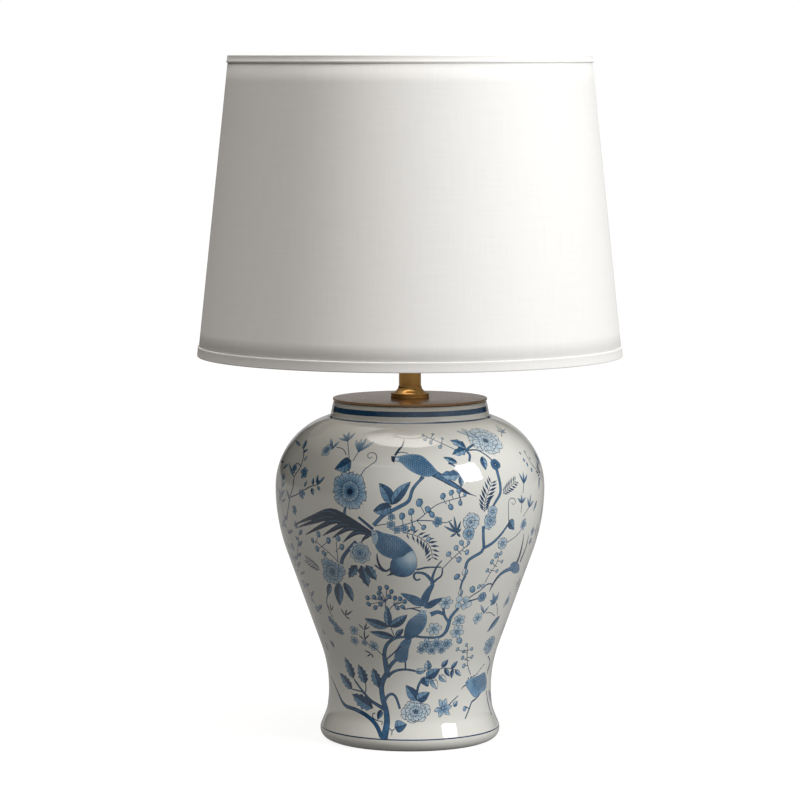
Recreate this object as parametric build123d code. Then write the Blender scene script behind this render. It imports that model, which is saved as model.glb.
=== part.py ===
from build123d import *

import math
import os

# Ginger jar table lamp: a glazed jar clamped between its foot and a brass cap by a threaded
# stem tube, with a lampholder on the neck tube, a wire shade carrier and a lined drum shade.
#
# Millimetres. Z is up from the surface that the lamp stands on, the lamp's axis is X = Y = 0,
# the front is -Y and the cord entry is at the back, +Y.

# --- Jar ---
belly_radius = 120.5
belly_height = 227.5
belly_round = 170.0
shoulder_round = 66.0
waist_radius = 73.0
waist_height = 45.6
waist_round = 119.0
flare_start_height = 29.0
flare_round = 24.0
foot_radius = 80.7
foot_bulge_height = 9.0
foot_upper_round = 10.7
foot_under_round = 9.0
jar_height = 304.5
neck_top_radius = 68.6
neck_foot_radius = 70.6
neck_foot_fillet = 3.0
neck_wall = 6.1
lip_fillet = 1.2
jar_wall = 5.5
recess_radius = 62.0
recess_depth = 23.0
floor_thickness = 8.0
floor_fillet = 4.0
felt_thickness = 1.0
felt_inset = 2.3

# --- Cord entry in the back of the foot ---
cord_entry_height = 10.5
cord_bore_radius = 3.25
gland_radius = 5.4
gland_hole_clearance = 0.15
gland_flange_radius = 6.8
gland_flange_thickness = 2.2
gland_flange_gap = 0.15
gland_inner_reach = 5.0
gland_nut_thickness = 3.0
gland_nut_across_flats = 14.0

# --- Stem tube and what clamps the jar ---
stem_radius = 5.0
stem_bore_radius = 3.5
stem_hole_clearance = 0.15
stem_below_nut = 1.5
stem_into_holder = 8.0
floor_gasket_thickness = 1.5
floor_gasket_radius = 22.0
tension_plate_thickness = 2.0
tension_plate_radius = 24.0
lock_washer_thickness = 1.2
lock_washer_radius = 10.0
lock_washer_teeth = 12
earth_tag_thickness = 0.8
earth_tag_radius = 9.0
earth_tag_width = 6.0
earth_tag_reach = 19.0
base_nut_thickness = 6.0
base_nut_across_flats = 17.0
flat_fit = 0.05

# --- Terminal block and wires ---
block_length = 24.0
block_depth = 14.0
block_height = 12.0
block_front = 30.0
block_way_spacing = 7.0
block_screw_radius = 1.6
block_screw_depth = 4.5
block_screw_slot = 0.6
wire_radius = 1.0
wire_entry_above_block_foot = 4.0
wire_low_height = 5.0
wire_drop_run = 12.0
wire_lead_run = 6.0
wire_turn_radius = 5.0
wire_bore_offset = 1.8

# --- Cap plate, neck collar and tube ---
cap_radius = 69.0
cap_thickness = 1.8
cap_edge_round = 0.5
cap_gasket_thickness = 0.8
cap_gasket_inset = 1.2
cap_gasket_width = 4.0
spigot_height = 8.0
spigot_wall = 3.0
spigot_clearance = 0.8
collar_radius = 17.1
collar_height = 4.4
collar_edge = 0.4
cone_base_radius = 14.3
cone_top_radius = 10.4
cone_height = 4.5
cone_land_height = 1.6
tube_radius = 9.9
tube_wall = 1.2
tube_socket_depth = 3.0
tube_top_height = 374.0
tube_washer_radius = 11.5
tube_washer_thickness = 2.0

# --- Lampholder, measured up from the tube washer ---
holder_radius = 19.5
holder_wall = 1.2
holder_boss_radius = 9.0
holder_boss_height = 6.0
holder_cone_height = 10.0
holder_cap_height = 32.0
grub_screw_radius = 1.45
grub_screw_height = 3.0
insert_bottom = 18.0
insert_thickness = 15.0
insert_clearance = 0.3
switch_bar_height = 24.0
switch_bar_radius = 2.0
switch_bar_length = 52.0
switch_travel = 6.0
switch_bar_clearance = 0.4
switch_tip_radius = 2.9
switch_tip_length = 2.5
holder_screw_offset = 8.0
holder_screw_radius = 1.5
holder_screw_depth = 4.0
holder_screw_turn = 60.0
skirt_height = 32.0
skirt_bore_radius = 14.6
skirt_mouth_radius = 17.2
skirt_taper_height = 4.0
shell_bore_radius = 13.6
shell_wall = 0.4
shell_height = 25.0
contact_width = 6.0
contact_thickness = 0.6
contact_rise = 4.0

# --- Shade rings and wire carrier ---
lower_ring_above_skirt_foot = 5.0
shade_ring_radius = 26.5
lower_ring_thickness = 4.0
upper_ring_thickness = 5.0
ring_thread_clearance = 0.3
ring_grip_count = 18
ring_grip_radius = 1.2
moving_gap = 0.3
carrier_bore_clearance = 0.8
carrier_plate_radius = 34.0
carrier_plate_thickness = 1.5
carrier_leg_count = 3
carrier_leg_radius = 1.5
carrier_leg_foot_radius = 31.0
carrier_leg_foot_rise = 6.0
carrier_leg_spread_rise = 30.0
carrier_leg_bend = 8.0
carrier_ring_radius = 48.0
carrier_ring_width = 3.4
carrier_ring_thickness = 2.8
carrier_height = 153.7

# --- Bulb, measured up from the centre contact ---
bulb_contact_gap = 0.4
bulb_contact_radius = 4.2
bulb_contact_height = 1.6
bulb_insulator_height = 4.0
bulb_insulator_radius = 9.5
bulb_cap_radius = 13.0
bulb_cap_height = 22.0
bulb_cap_taper = 4.0
bulb_collar_height = 15.0
bulb_collar_radius = 24.0
bulb_globe_radius = 30.0
bulb_length = 109.0
bulb_wall = 1.2

# --- Shade ---
shade_bottom_height = 345.0
shade_top_height = 612.0
shade_top_radius = 162.0
shade_bottom_radius = 190.0
trim_thickness = 0.8
shade_fabric_thickness = 0.7
shade_liner_thickness = 0.5
top_trim_drop = 6.5
bottom_trim_rise = 9.0
trim_inner_drop = 9.0
shade_wire_radius = 1.6
shade_fit = 0.05
duplex_ring_radius = 52.0
duplex_ring_bore_radius = 42.0
duplex_ring_thickness = 1.5
duplex_lip_height = 5.0
duplex_lip_thickness = 1.4
duplex_arm_count = 3
duplex_arm_radius = 1.6

# --- Heights up the stack ---
foot_land = felt_thickness
recess_top = foot_land + recess_depth
jar_floor = recess_top + floor_thickness
gasket_bottom = recess_top - floor_gasket_thickness
plate_bottom = gasket_bottom - tension_plate_thickness
lock_washer_bottom = plate_bottom - lock_washer_thickness
earth_tag_bottom = lock_washer_bottom - earth_tag_thickness
base_nut_bottom = earth_tag_bottom - base_nut_thickness
stem_bottom = base_nut_bottom - stem_below_nut
cap_bottom = jar_height + cap_gasket_thickness
cap_top = cap_bottom + cap_thickness
collar_top = cap_top + collar_height
cone_top = collar_top + cone_height
neck_base_top = cone_top + cone_land_height
tube_bottom = neck_base_top - tube_socket_depth
holder_bottom = tube_top_height + tube_washer_thickness
stem_top = holder_bottom + stem_into_holder
holder_cap_top = holder_bottom + holder_cap_height
insert_foot = holder_bottom + insert_bottom
insert_top = insert_foot + insert_thickness
switch_height = holder_bottom + switch_bar_height
skirt_top = holder_cap_top + skirt_height
lower_ring_bottom = holder_cap_top + lower_ring_above_skirt_foot
carrier_bottom = lower_ring_bottom + lower_ring_thickness + moving_gap
upper_ring_bottom = carrier_bottom + carrier_plate_thickness + moving_gap
carrier_top = carrier_bottom + carrier_height
carrier_ring_bottom = carrier_top - carrier_ring_thickness
duplex_bottom = carrier_top + moving_gap
contact_top = insert_top + contact_thickness + contact_rise
bulb_bottom = contact_top + bulb_contact_gap
block_foot = recess_top - block_height


def ring(outer, bore, bottom, height):
    """A plain ring or washer about the lamp's axis."""
    body = Cylinder(outer, height, align=(Align.CENTER, Align.CENTER, Align.MIN))
    hole = Cylinder(bore, height, align=(Align.CENTER, Align.CENTER, Align.MIN))
    return Pos(0, 0, bottom) * (body - hole)


def turned(points):
    """A solid of revolution about Z from a closed outline of (radius, height) points."""
    outline = Polyline(*[(r, 0, z) for r, z in points], close=True)
    return revolve(make_face(outline), Axis.Z)


def hexagon(across_flats, bottom, height, bore):
    """A hexagonal nut about the lamp's axis."""
    blank = extrude(RegularPolygon(across_flats / 2, 6, major_radius=False), height)
    hole = Cylinder(bore, height, align=(Align.CENTER, Align.CENTER, Align.MIN))
    return Pos(0, 0, bottom) * (blank - hole)


def rod_between(start, end, radius):
    """A round rod from one point to another."""
    path = Line(start, end)
    return sweep(Plane(origin=start, z_dir=path % 0) * Circle(radius), path)


def bent_rod(points, bends, radius):
    """A round wire along straight runs joined by arcs, one bend radius for each corner."""
    path = FilletPolyline(*points, radius=bends)
    return sweep(Plane(origin=points[0], z_dir=path % 0) * Circle(radius), path)


def around(piece, count, first_angle=0.0):
    """Copies of a piece, evenly spaced about the lamp's axis."""
    turns = [first_angle + 360.0 * i / count for i in range(count)]
    return [Rot(0, 0, turn) * piece for turn in turns]


# --- Jar: a thrown shape of tangent arcs, so the inside is the outside moved in by the wall ---


def on_circle(centre, radius, angle):
    """A point of the profile at an angle above the outward radius, in degrees."""
    a = math.radians(angle)
    return (centre[0] + radius * math.cos(a), 0, centre[1] + radius * math.sin(a))


def profile_arc(centre, radius, start, end):
    """A profile arc between two angles, in degrees."""
    middle = (start + end) / 2
    return ThreePointArc(*[on_circle(centre, radius, a) for a in (start, middle, end)])


def common_slope(hollow, hollow_radius, round_centre, round_radius):
    """Slope from vertical of the line that leaves a hollow arc and meets a round one."""
    across = round_centre[0] - hollow[0]
    along = abs(round_centre[1] - hollow[1])
    reach = math.hypot(across, along)
    angle = math.acos(-(hollow_radius + round_radius) / reach) - math.atan2(along, across)
    return math.degrees(angle)


belly_centre = (belly_radius - belly_round, belly_height)
shoulder_centre = (belly_radius - shoulder_round, belly_height)
waist_centre = (waist_radius + waist_round, waist_height)
body_slope = common_slope(waist_centre, waist_round, belly_centre, belly_round)
flare_angle = math.degrees(math.asin((waist_height - flare_start_height) / waist_round))
flare_start = on_circle(waist_centre, -waist_round, flare_angle)
flare_centre = on_circle((flare_start[0], flare_start[2]), flare_round, flare_angle)
flare_centre = (flare_centre[0], flare_centre[2])
foot_centre = (foot_radius - foot_upper_round, foot_bulge_height)
foot_slope = common_slope(flare_centre, flare_round, foot_centre, foot_upper_round)
foot_under_centre = (foot_radius - foot_under_round, foot_bulge_height)


def side_from_shoulder(start_radius, inset):
    """The side's edges from the shoulder down to the waist, moved in by the inset."""
    reach = shoulder_round - inset
    start_angle = math.degrees(math.acos((start_radius - shoulder_centre[0]) / reach))
    shoulder = profile_arc(shoulder_centre, reach, start_angle, 0)
    belly = profile_arc(belly_centre, belly_round - inset, 0, -body_slope)
    waist_start = on_circle(waist_centre, -(waist_round + inset), -body_slope)
    straight = Line(belly @ 1, waist_start)
    return [shoulder, belly, straight]


def jar_outside():
    """The outer profile from the lip down to the foot's land."""
    side = side_from_shoulder(neck_foot_radius, 0)
    waist = profile_arc(waist_centre, -waist_round, -body_slope, flare_angle)
    flare = profile_arc(flare_centre, -flare_round, flare_angle, foot_slope)
    bulge = profile_arc(foot_centre, foot_upper_round, foot_slope, 0)
    under_angle = -math.degrees(math.asin((foot_bulge_height - foot_land) / foot_under_round))
    under = profile_arc(foot_under_centre, foot_under_round, 0, under_angle)
    neck = Line((neck_top_radius, 0, jar_height), side[0] @ 0)
    return [neck, *side, waist, flare, Line(flare @ 1, bulge @ 0), bulge, under]


def jar_inside():
    """The inner profile from the mouth down to the middle of the floor."""
    mouth_radius = neck_top_radius - neck_wall
    side = side_from_shoulder(mouth_radius, jar_wall)
    reach = waist_round + jar_wall
    floor_angle = math.degrees(math.asin((waist_height - jar_floor) / reach))
    waist = profile_arc(waist_centre, -reach, -body_slope, floor_angle)
    neck = Line((mouth_radius, 0, jar_height), side[0] @ 0)
    hole_radius = stem_radius + stem_hole_clearance
    floor = Line(waist @ 1, (hole_radius, 0, jar_floor))
    return [neck, *side, waist, floor]


def corner_near(face, point):
    """The face's corner nearest to a point."""
    target = Vector(*point)
    return min(face.vertices(), key=lambda v: (Vector(*v) - target).length)


def make_jar():
    outside = jar_outside()
    inside = jar_inside()
    hole_radius = stem_radius + stem_hole_clearance
    lip = Line(outside[0] @ 0, inside[0] @ 0)
    foot = Polyline(
        outside[-1] @ 1,
        (recess_radius, 0, foot_land),
        (recess_radius, 0, recess_top),
        (hole_radius, 0, recess_top),
        (hole_radius, 0, jar_floor),
    )
    section = Face(Wire([*Curve(outside + inside + [lip, foot]).edges()]))
    section = section.fillet_2d(neck_foot_fillet, [corner_near(section, outside[1] @ 0)])
    section = section.fillet_2d(lip_fillet, [corner_near(section, outside[0] @ 0)])
    section = section.fillet_2d(floor_fillet, [corner_near(section, inside[-2] @ 1)])
    jar = revolve(section, Axis.Z)
    entry = Cylinder(gland_radius + gland_hole_clearance, foot_radius, rotation=(90, 0, 0))
    return jar - Pos(0, foot_radius, cord_entry_height) * entry


# --- Foot: felt, cord entry and the clamping stack ---


def make_felt():
    under_reach = foot_under_round**2 - (foot_bulge_height - foot_land) ** 2
    land_radius = foot_under_centre[0] + math.sqrt(under_reach)
    return Cylinder(
        land_radius - felt_inset,
        felt_thickness,
        align=(Align.CENTER, Align.CENTER, Align.MIN),
    )


def along_entry(piece, start):
    """Lays a piece made along Z onto the cord entry's axis, from a distance behind the axis."""
    return Pos(0, start, cord_entry_height) * Rot(-90, 0, 0) * piece


def make_gland():
    inner_end = recess_radius - gland_inner_reach
    flange_start = foot_radius + gland_flange_gap
    outer_end = flange_start + gland_flange_thickness
    rim = gland_flange_radius
    outline = [
        (cord_bore_radius, 0),
        (gland_radius, 0),
        (gland_radius, flange_start - inner_end),
        (rim, flange_start - inner_end),
        (rim, flange_start - inner_end + gland_flange_thickness / 2),
        (gland_radius, outer_end - inner_end),
        (cord_bore_radius, outer_end - inner_end),
    ]
    return along_entry(turned(outline), inner_end)


def make_gland_nut():
    nut = hexagon(gland_nut_across_flats, 0, gland_nut_thickness, gland_radius + flat_fit)
    flat_of_wall = math.sqrt(recess_radius**2 - (gland_nut_across_flats / math.sqrt(3)) ** 2)
    return along_entry(nut, flat_of_wall - gland_nut_thickness)


def make_lock_washer():
    bore = stem_radius + flat_fit
    washer = ring(lock_washer_radius, bore, lock_washer_bottom, lock_washer_thickness)
    tooth_pitch = 2 * math.pi * lock_washer_radius / lock_washer_teeth
    gap = Box(tooth_pitch, tooth_pitch / 2, lock_washer_thickness)
    height = lock_washer_bottom + lock_washer_thickness / 2
    for cut in around(Pos(lock_washer_radius, 0, height) * gap, lock_washer_teeth):
        washer -= cut
    return washer


def make_earth_tag():
    tail = Box(
        earth_tag_width,
        earth_tag_reach,
        earth_tag_thickness,
        align=(Align.CENTER, Align.MIN, Align.MIN),
    )
    disc = Cylinder(
        earth_tag_radius, earth_tag_thickness, align=(Align.CENTER, Align.CENTER, Align.MIN)
    )
    hole = Cylinder(
        stem_radius + flat_fit,
        earth_tag_thickness,
        align=(Align.CENTER, Align.CENTER, Align.MIN),
    )
    return Pos(0, 0, earth_tag_bottom) * (disc + tail - hole)


block_ways = [-block_way_spacing, 0.0, block_way_spacing]
block_screw_rows = [
    block_front + block_depth * 0.25,
    block_front + block_depth * 0.75,
]


def make_block():
    block = Box(
        block_length,
        block_depth,
        block_height,
        align=(Align.CENTER, Align.MIN, Align.MIN),
    )
    block = Pos(0, block_front, block_foot) * block
    well = Cylinder(
        block_screw_radius + flat_fit,
        block_screw_depth,
        align=(Align.CENTER, Align.CENTER, Align.MIN),
    )
    for x in block_ways:
        for y in block_screw_rows:
            block -= Pos(x, y, block_foot) * well
    return block


def make_block_screws():
    screws = []
    for x in block_ways:
        for y in block_screw_rows:
            screw = Cylinder(
                block_screw_radius,
                block_screw_depth,
                align=(Align.CENTER, Align.CENTER, Align.MIN),
            )
            slot = Box(2 * block_screw_radius, block_screw_slot, 2 * block_screw_slot)
            screws.append(Pos(x, y, block_foot) * (screw - slot))
    return screws


def make_stem():
    return ring(stem_radius, stem_bore_radius, stem_bottom, stem_top - stem_bottom)


def make_holder_wire(side):
    """A wire from the block, under the stem tube, up its bore to the lampholder's insert."""
    entry = block_foot + wire_entry_above_block_foot
    way = side * block_way_spacing
    bore = side * wire_bore_offset
    screw = side * holder_screw_offset
    turn = (insert_foot - stem_top) / 2
    points = [
        (way, block_front, entry),
        (way, block_front - wire_lead_run, entry),
        (bore, wire_drop_run, wire_low_height),
        (bore, 0, wire_low_height),
        (bore, 0, stem_top),
        (screw, 0, stem_top + turn),
        (screw, 0, insert_foot),
    ]
    bends = [wire_turn_radius, wire_turn_radius, wire_turn_radius, 3.0, 3.0]
    return bent_rod(points, bends, wire_radius)


def make_earth_wire():
    """A short wire from the block to the earth tag's tail."""
    entry = block_foot + wire_entry_above_block_foot
    tail_end = earth_tag_reach - wire_radius
    points = [
        (0, block_front, entry),
        (0, tail_end, entry),
        (0, tail_end, earth_tag_bottom),
    ]
    return bent_rod(points, [(earth_tag_bottom - entry) * 0.6], wire_radius)


# --- Cap plate, neck collar and tube ---

stem_hole = stem_radius + stem_hole_clearance


def make_cap():
    edge = cap_edge_round
    return turned(
        [
            (stem_hole, cap_bottom),
            (cap_radius, cap_bottom),
            (cap_radius, cap_top - edge),
            (cap_radius - edge, cap_top),
            (stem_hole, cap_top),
        ]
    )


def make_neck_base():
    socket = tube_radius + flat_fit
    return turned(
        [
            (stem_hole, cap_top),
            (collar_radius, cap_top),
            (collar_radius, collar_top - collar_edge),
            (collar_radius - collar_edge, collar_top),
            (cone_base_radius, collar_top),
            (cone_top_radius, cone_top),
            (cone_top_radius, neck_base_top),
            (socket, neck_base_top),
            (socket, tube_bottom),
            (stem_hole, tube_bottom),
        ]
    )


# --- Lampholder ---


def make_holder_cap():
    boss_top = holder_bottom + holder_boss_height
    cone_end = boss_top + holder_cone_height
    inner = holder_radius - holder_wall
    slope = math.atan2(holder_cone_height, holder_radius - holder_boss_radius)
    inner_cone_end = cone_end + holder_wall * (1 - math.cos(slope)) / math.sin(slope)
    inner_rise = (inner - stem_hole) * math.tan(slope)
    shell = turned(
        [
            (stem_hole, holder_bottom),
            (holder_boss_radius, holder_bottom),
            (holder_boss_radius, boss_top),
            (holder_radius, cone_end),
            (holder_radius, holder_cap_top),
            (inner, holder_cap_top),
            (inner, inner_cone_end),
            (stem_hole, inner_cone_end - inner_rise),
        ]
    )
    grub = Cylinder(grub_screw_radius + flat_fit, holder_boss_radius * 2, rotation=(90, 0, 0))
    shell -= Pos(0, holder_boss_radius, holder_bottom + grub_screw_height) * grub
    slot = Cylinder(
        switch_bar_radius + switch_bar_clearance, 3 * holder_radius, rotation=(0, 90, 0)
    )
    return shell - Pos(0, 0, switch_height) * slot


def make_grub_screw():
    length = holder_boss_radius - stem_hole
    screw = Cylinder(
        grub_screw_radius, length, align=(Align.CENTER, Align.CENTER, Align.MIN)
    )
    slot = Box(2 * grub_screw_radius, block_screw_slot, 2 * block_screw_slot)
    screw -= Pos(0, 0, length) * slot
    return Pos(0, stem_hole, holder_bottom + grub_screw_height) * Rot(-90, 0, 0) * screw


def screw_places():
    """Places of the insert's two screws, turned away from the switch bar."""
    turn = math.radians(holder_screw_turn)
    x = holder_screw_offset * 1.5 * math.cos(turn)
    y = holder_screw_offset * 1.5 * math.sin(turn)
    return [(x, y), (-x, -y)]


def make_insert():
    radius = holder_radius - holder_wall - insert_clearance
    body = Cylinder(
        radius, insert_thickness, align=(Align.CENTER, Align.CENTER, Align.MIN)
    )
    body = Pos(0, 0, insert_foot) * body
    slot = Cylinder(
        switch_bar_radius + switch_bar_clearance, 3 * radius, rotation=(0, 90, 0)
    )
    body -= Pos(0, 0, switch_height) * slot
    well = Cylinder(
        holder_screw_radius + flat_fit,
        holder_screw_depth,
        align=(Align.CENTER, Align.CENTER, Align.MAX),
    )
    for x, y in screw_places():
        body -= Pos(x, y, insert_top) * well
    return body


def make_holder_screws():
    screws = []
    for x, y in screw_places():
        screw = Cylinder(
            holder_screw_radius,
            holder_screw_depth,
            align=(Align.CENTER, Align.CENTER, Align.MAX),
        )
        slot = Box(2 * holder_screw_radius, block_screw_slot, 2 * block_screw_slot)
        screws.append(Pos(x, y, insert_top) * (screw - slot))
    return screws


def make_centre_contact():
    """A bent strip: its foot lies on the insert and its tongue stands under the bulb."""
    t = contact_thickness
    foot = contact_width
    top = contact_top
    points = [
        (-foot, insert_top),
        (t, insert_top),
        (t, top - t),
        (foot / 2, top - t),
        (foot / 2, top),
        (0, top),
        (0, insert_top + t),
        (-foot, insert_top + t),
    ]
    outline = Polyline(*[(x, 0, z) for x, z in points], close=True)
    return extrude(make_face(outline), contact_width / 2, dir=(0, 1, 0), both=True)


def make_screw_shell():
    outer = shell_bore_radius + shell_wall
    return ring(outer, shell_bore_radius, insert_top, shell_height)


def make_skirt():
    seat = holder_radius - holder_wall
    seat_top = insert_top + insert_clearance
    return turned(
        [
            (seat, holder_cap_top),
            (holder_radius, holder_cap_top),
            (holder_radius, skirt_top - skirt_taper_height),
            (skirt_mouth_radius, skirt_top),
            (skirt_bore_radius, skirt_top),
            (skirt_bore_radius, seat_top),
            (seat, seat_top),
        ]
    )


def make_shade_ring(bottom, thickness, clearance):
    """A threaded clamp ring with finger grips round its rim."""
    clamp = ring(shade_ring_radius, holder_radius + clearance, bottom, thickness)
    grip = Cylinder(
        ring_grip_radius, thickness, align=(Align.CENTER, Align.CENTER, Align.MIN)
    )
    for cut in around(Pos(shade_ring_radius, 0, bottom) * grip, ring_grip_count):
        clamp -= cut
    return clamp


def make_switch_bar():
    """The bar and its two tips; at rest it stands out to the right by the switch's travel."""
    half = switch_bar_length / 2
    rest = switch_travel / 2
    outline = [
        (0, -half),
        (switch_tip_radius, -half),
        (switch_tip_radius, -half + switch_tip_length),
        (switch_bar_radius, -half + switch_tip_length),
        (switch_bar_radius, half - switch_tip_length),
        (switch_tip_radius, half - switch_tip_length),
        (switch_tip_radius, half),
        (0, half),
    ]
    return Pos(rest, 0, switch_height) * Rot(0, 90, 0) * turned(outline)


# --- Shade carrier ---


def make_carrier_plate():
    bore = holder_radius + carrier_bore_clearance
    return ring(carrier_plate_radius, bore, carrier_bottom, carrier_plate_thickness)


def make_carrier_legs():
    foot = carrier_bottom + carrier_plate_thickness
    points = [
        (carrier_leg_foot_radius, 0, foot),
        (carrier_leg_foot_radius, 0, foot + carrier_leg_foot_rise),
        (carrier_ring_radius, 0, foot + carrier_leg_spread_rise),
        (carrier_ring_radius, 0, carrier_ring_bottom),
    ]
    leg = bent_rod(points, [carrier_leg_bend, carrier_leg_bend], carrier_leg_radius)
    return around(leg, carrier_leg_count, 30.0)


def make_carrier_ring():
    half = carrier_ring_width / 2
    return ring(
        carrier_ring_radius + half,
        carrier_ring_radius - half,
        carrier_ring_bottom,
        carrier_ring_thickness,
    )


# --- Bulb ---


def make_bulb_contact():
    return Pos(0, 0, bulb_bottom) * Cylinder(
        bulb_contact_radius,
        bulb_contact_height,
        align=(Align.CENTER, Align.CENTER, Align.MIN),
    )


def make_bulb_insulator():
    bottom = bulb_bottom + bulb_contact_height
    top = bottom + bulb_insulator_height
    return turned(
        [(0, bottom), (bulb_contact_radius, bottom), (bulb_insulator_radius, top), (0, top)]
    )


bulb_cap_bottom = bulb_bottom + bulb_contact_height + bulb_insulator_height
bulb_cap_top = bulb_cap_bottom + bulb_cap_height
bulb_collar_top = bulb_cap_top + bulb_collar_height
bulb_top = bulb_bottom + bulb_length


def make_bulb_cap():
    return turned(
        [
            (0, bulb_cap_bottom),
            (bulb_insulator_radius, bulb_cap_bottom),
            (bulb_cap_radius, bulb_cap_bottom + bulb_cap_taper),
            (bulb_cap_radius, bulb_cap_top),
            (0, bulb_cap_top),
        ]
    )


def make_bulb_collar():
    profile = [
        Line((0, 0, bulb_cap_top), (bulb_cap_radius, 0, bulb_cap_top)),
        Line(
            (bulb_cap_radius, 0, bulb_cap_top),
            (bulb_collar_radius, 0, bulb_collar_top),
        ),
        Line((bulb_collar_radius, 0, bulb_collar_top), (0, 0, bulb_collar_top)),
        Line((0, 0, bulb_collar_top), (0, 0, bulb_cap_top)),
    ]
    return revolve(Face(Wire(Curve(profile).edges())), Axis.Z)


def make_bulb_glass():
    """A hollow globe on a short cone, closed at its foot by the collar."""
    centre = bulb_top - bulb_globe_radius
    join = on_circle((0, centre), bulb_globe_radius, -40)
    join_in = on_circle((0, centre), bulb_globe_radius - bulb_wall, -40)
    rim = (bulb_collar_radius, 0, bulb_collar_top)
    rim_in = (bulb_collar_radius - bulb_wall, 0, bulb_collar_top)
    top = (0, 0, bulb_top)
    top_in = (0, 0, bulb_top - bulb_wall)
    profile = [
        Line(rim_in, rim),
        Line(rim, join),
        ThreePointArc(join, on_circle((0, centre), bulb_globe_radius, 25), top),
        Line(top, top_in),
        ThreePointArc(top_in, on_circle((0, centre), bulb_globe_radius - bulb_wall, 25), join_in),
        Line(join_in, rim_in),
    ]
    return revolve(Face(Wire(Curve(profile).edges())), Axis.Z)


# --- Shade ---

cloth_top = shade_top_height - trim_thickness
cloth_bottom = shade_bottom_height + trim_thickness
cloth_top_radius = shade_top_radius - trim_thickness
cloth_bottom_radius = shade_bottom_radius - trim_thickness
shade_slope = (cloth_bottom_radius - cloth_top_radius) / (cloth_top - cloth_bottom)
liner_inset = shade_fabric_thickness + shade_liner_thickness


def cloth_radius(height):
    """The cloth's outer radius at a height."""
    return cloth_top_radius + (cloth_top - height) * shade_slope


def shade_skin(inset, thickness):
    """A tapered tube between the two trims, a distance in from the cloth's outside."""
    outer = [(cloth_radius(z) - inset, z) for z in (cloth_bottom, cloth_top)]
    inner = [(r - thickness, z) for r, z in reversed(outer)]
    return turned(outer + inner)


top_wire_height = cloth_top - shade_wire_radius - shade_fit
bottom_wire_height = cloth_bottom + shade_wire_radius + shade_fit


def wire_ring_radius(height):
    """Centre-line radius of an edge wire that lies against the liner."""
    steepest = shade_wire_radius * (1 + shade_slope)
    return cloth_radius(height) - liner_inset - steepest - shade_fit


def make_shade_wire(height):
    return Pos(0, 0, height) * Torus(wire_ring_radius(height), shade_wire_radius)


def arm_blank(radius):
    """An untrimmed arm, from inside the duplex ring's lip to the top wire's centre line."""
    start = (
        duplex_ring_radius - duplex_lip_thickness / 2,
        0,
        duplex_bottom - duplex_lip_height / 4,
    )
    end = (wire_ring_radius(top_wire_height), 0, top_wire_height)
    return rod_between(start, end, radius)


def make_top_trim():
    """Tape folded over the top edge, the cloth and its wire, slit where the arms pass."""
    skirt = shade_top_height - top_trim_drop
    inner = wire_ring_radius(top_wire_height) - shade_wire_radius - shade_fit
    drop = shade_top_height - trim_inner_drop
    tape = turned(
        [
            (shade_top_radius, shade_top_height),
            (shade_top_radius, skirt),
            (cloth_radius(skirt), skirt),
            (cloth_radius(cloth_top), cloth_top),
            (inner, cloth_top),
            (inner, drop),
            (inner - trim_thickness, drop),
            (inner - trim_thickness, shade_top_height),
        ]
    )
    for slit in around(arm_blank(duplex_arm_radius + shade_fit), duplex_arm_count, 90.0):
        tape -= slit
    return tape


def make_bottom_trim():
    """Tape folded under the bottom edge, the cloth and its wire."""
    top = shade_bottom_height + bottom_trim_rise
    inner = wire_ring_radius(bottom_wire_height) - shade_wire_radius - shade_fit
    rise = shade_bottom_height + trim_inner_drop
    return turned(
        [
            (shade_bottom_radius, shade_bottom_height),
            (cloth_radius(top) + trim_thickness, top),
            (cloth_radius(top), top),
            (cloth_radius(cloth_bottom), cloth_bottom),
            (inner, cloth_bottom),
            (inner, rise),
            (inner - trim_thickness, rise),
            (inner - trim_thickness, shade_bottom_height),
        ]
    )


def make_duplex_ring():
    """The flat ring that rests on the carrier, with a lip that keeps it centred."""
    lip_inner = duplex_ring_radius - duplex_lip_thickness
    return turned(
        [
            (duplex_ring_bore_radius, duplex_bottom),
            (lip_inner, duplex_bottom),
            (lip_inner, duplex_bottom - duplex_lip_height),
            (duplex_ring_radius, duplex_bottom - duplex_lip_height),
            (duplex_ring_radius, duplex_bottom + duplex_ring_thickness),
            (duplex_ring_bore_radius, duplex_bottom + duplex_ring_thickness),
        ]
    )


def make_duplex_arms():
    """Straight wires from the ring's lip up to the top edge wire, cut to meet both."""
    blank = arm_blank(duplex_arm_radius)
    trimmed = blank - make_duplex_ring() - make_shade_wire(top_wire_height)
    arm = max(trimmed.solids(), key=lambda s: s.volume)
    return around(arm, duplex_arm_count, 90.0)


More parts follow.
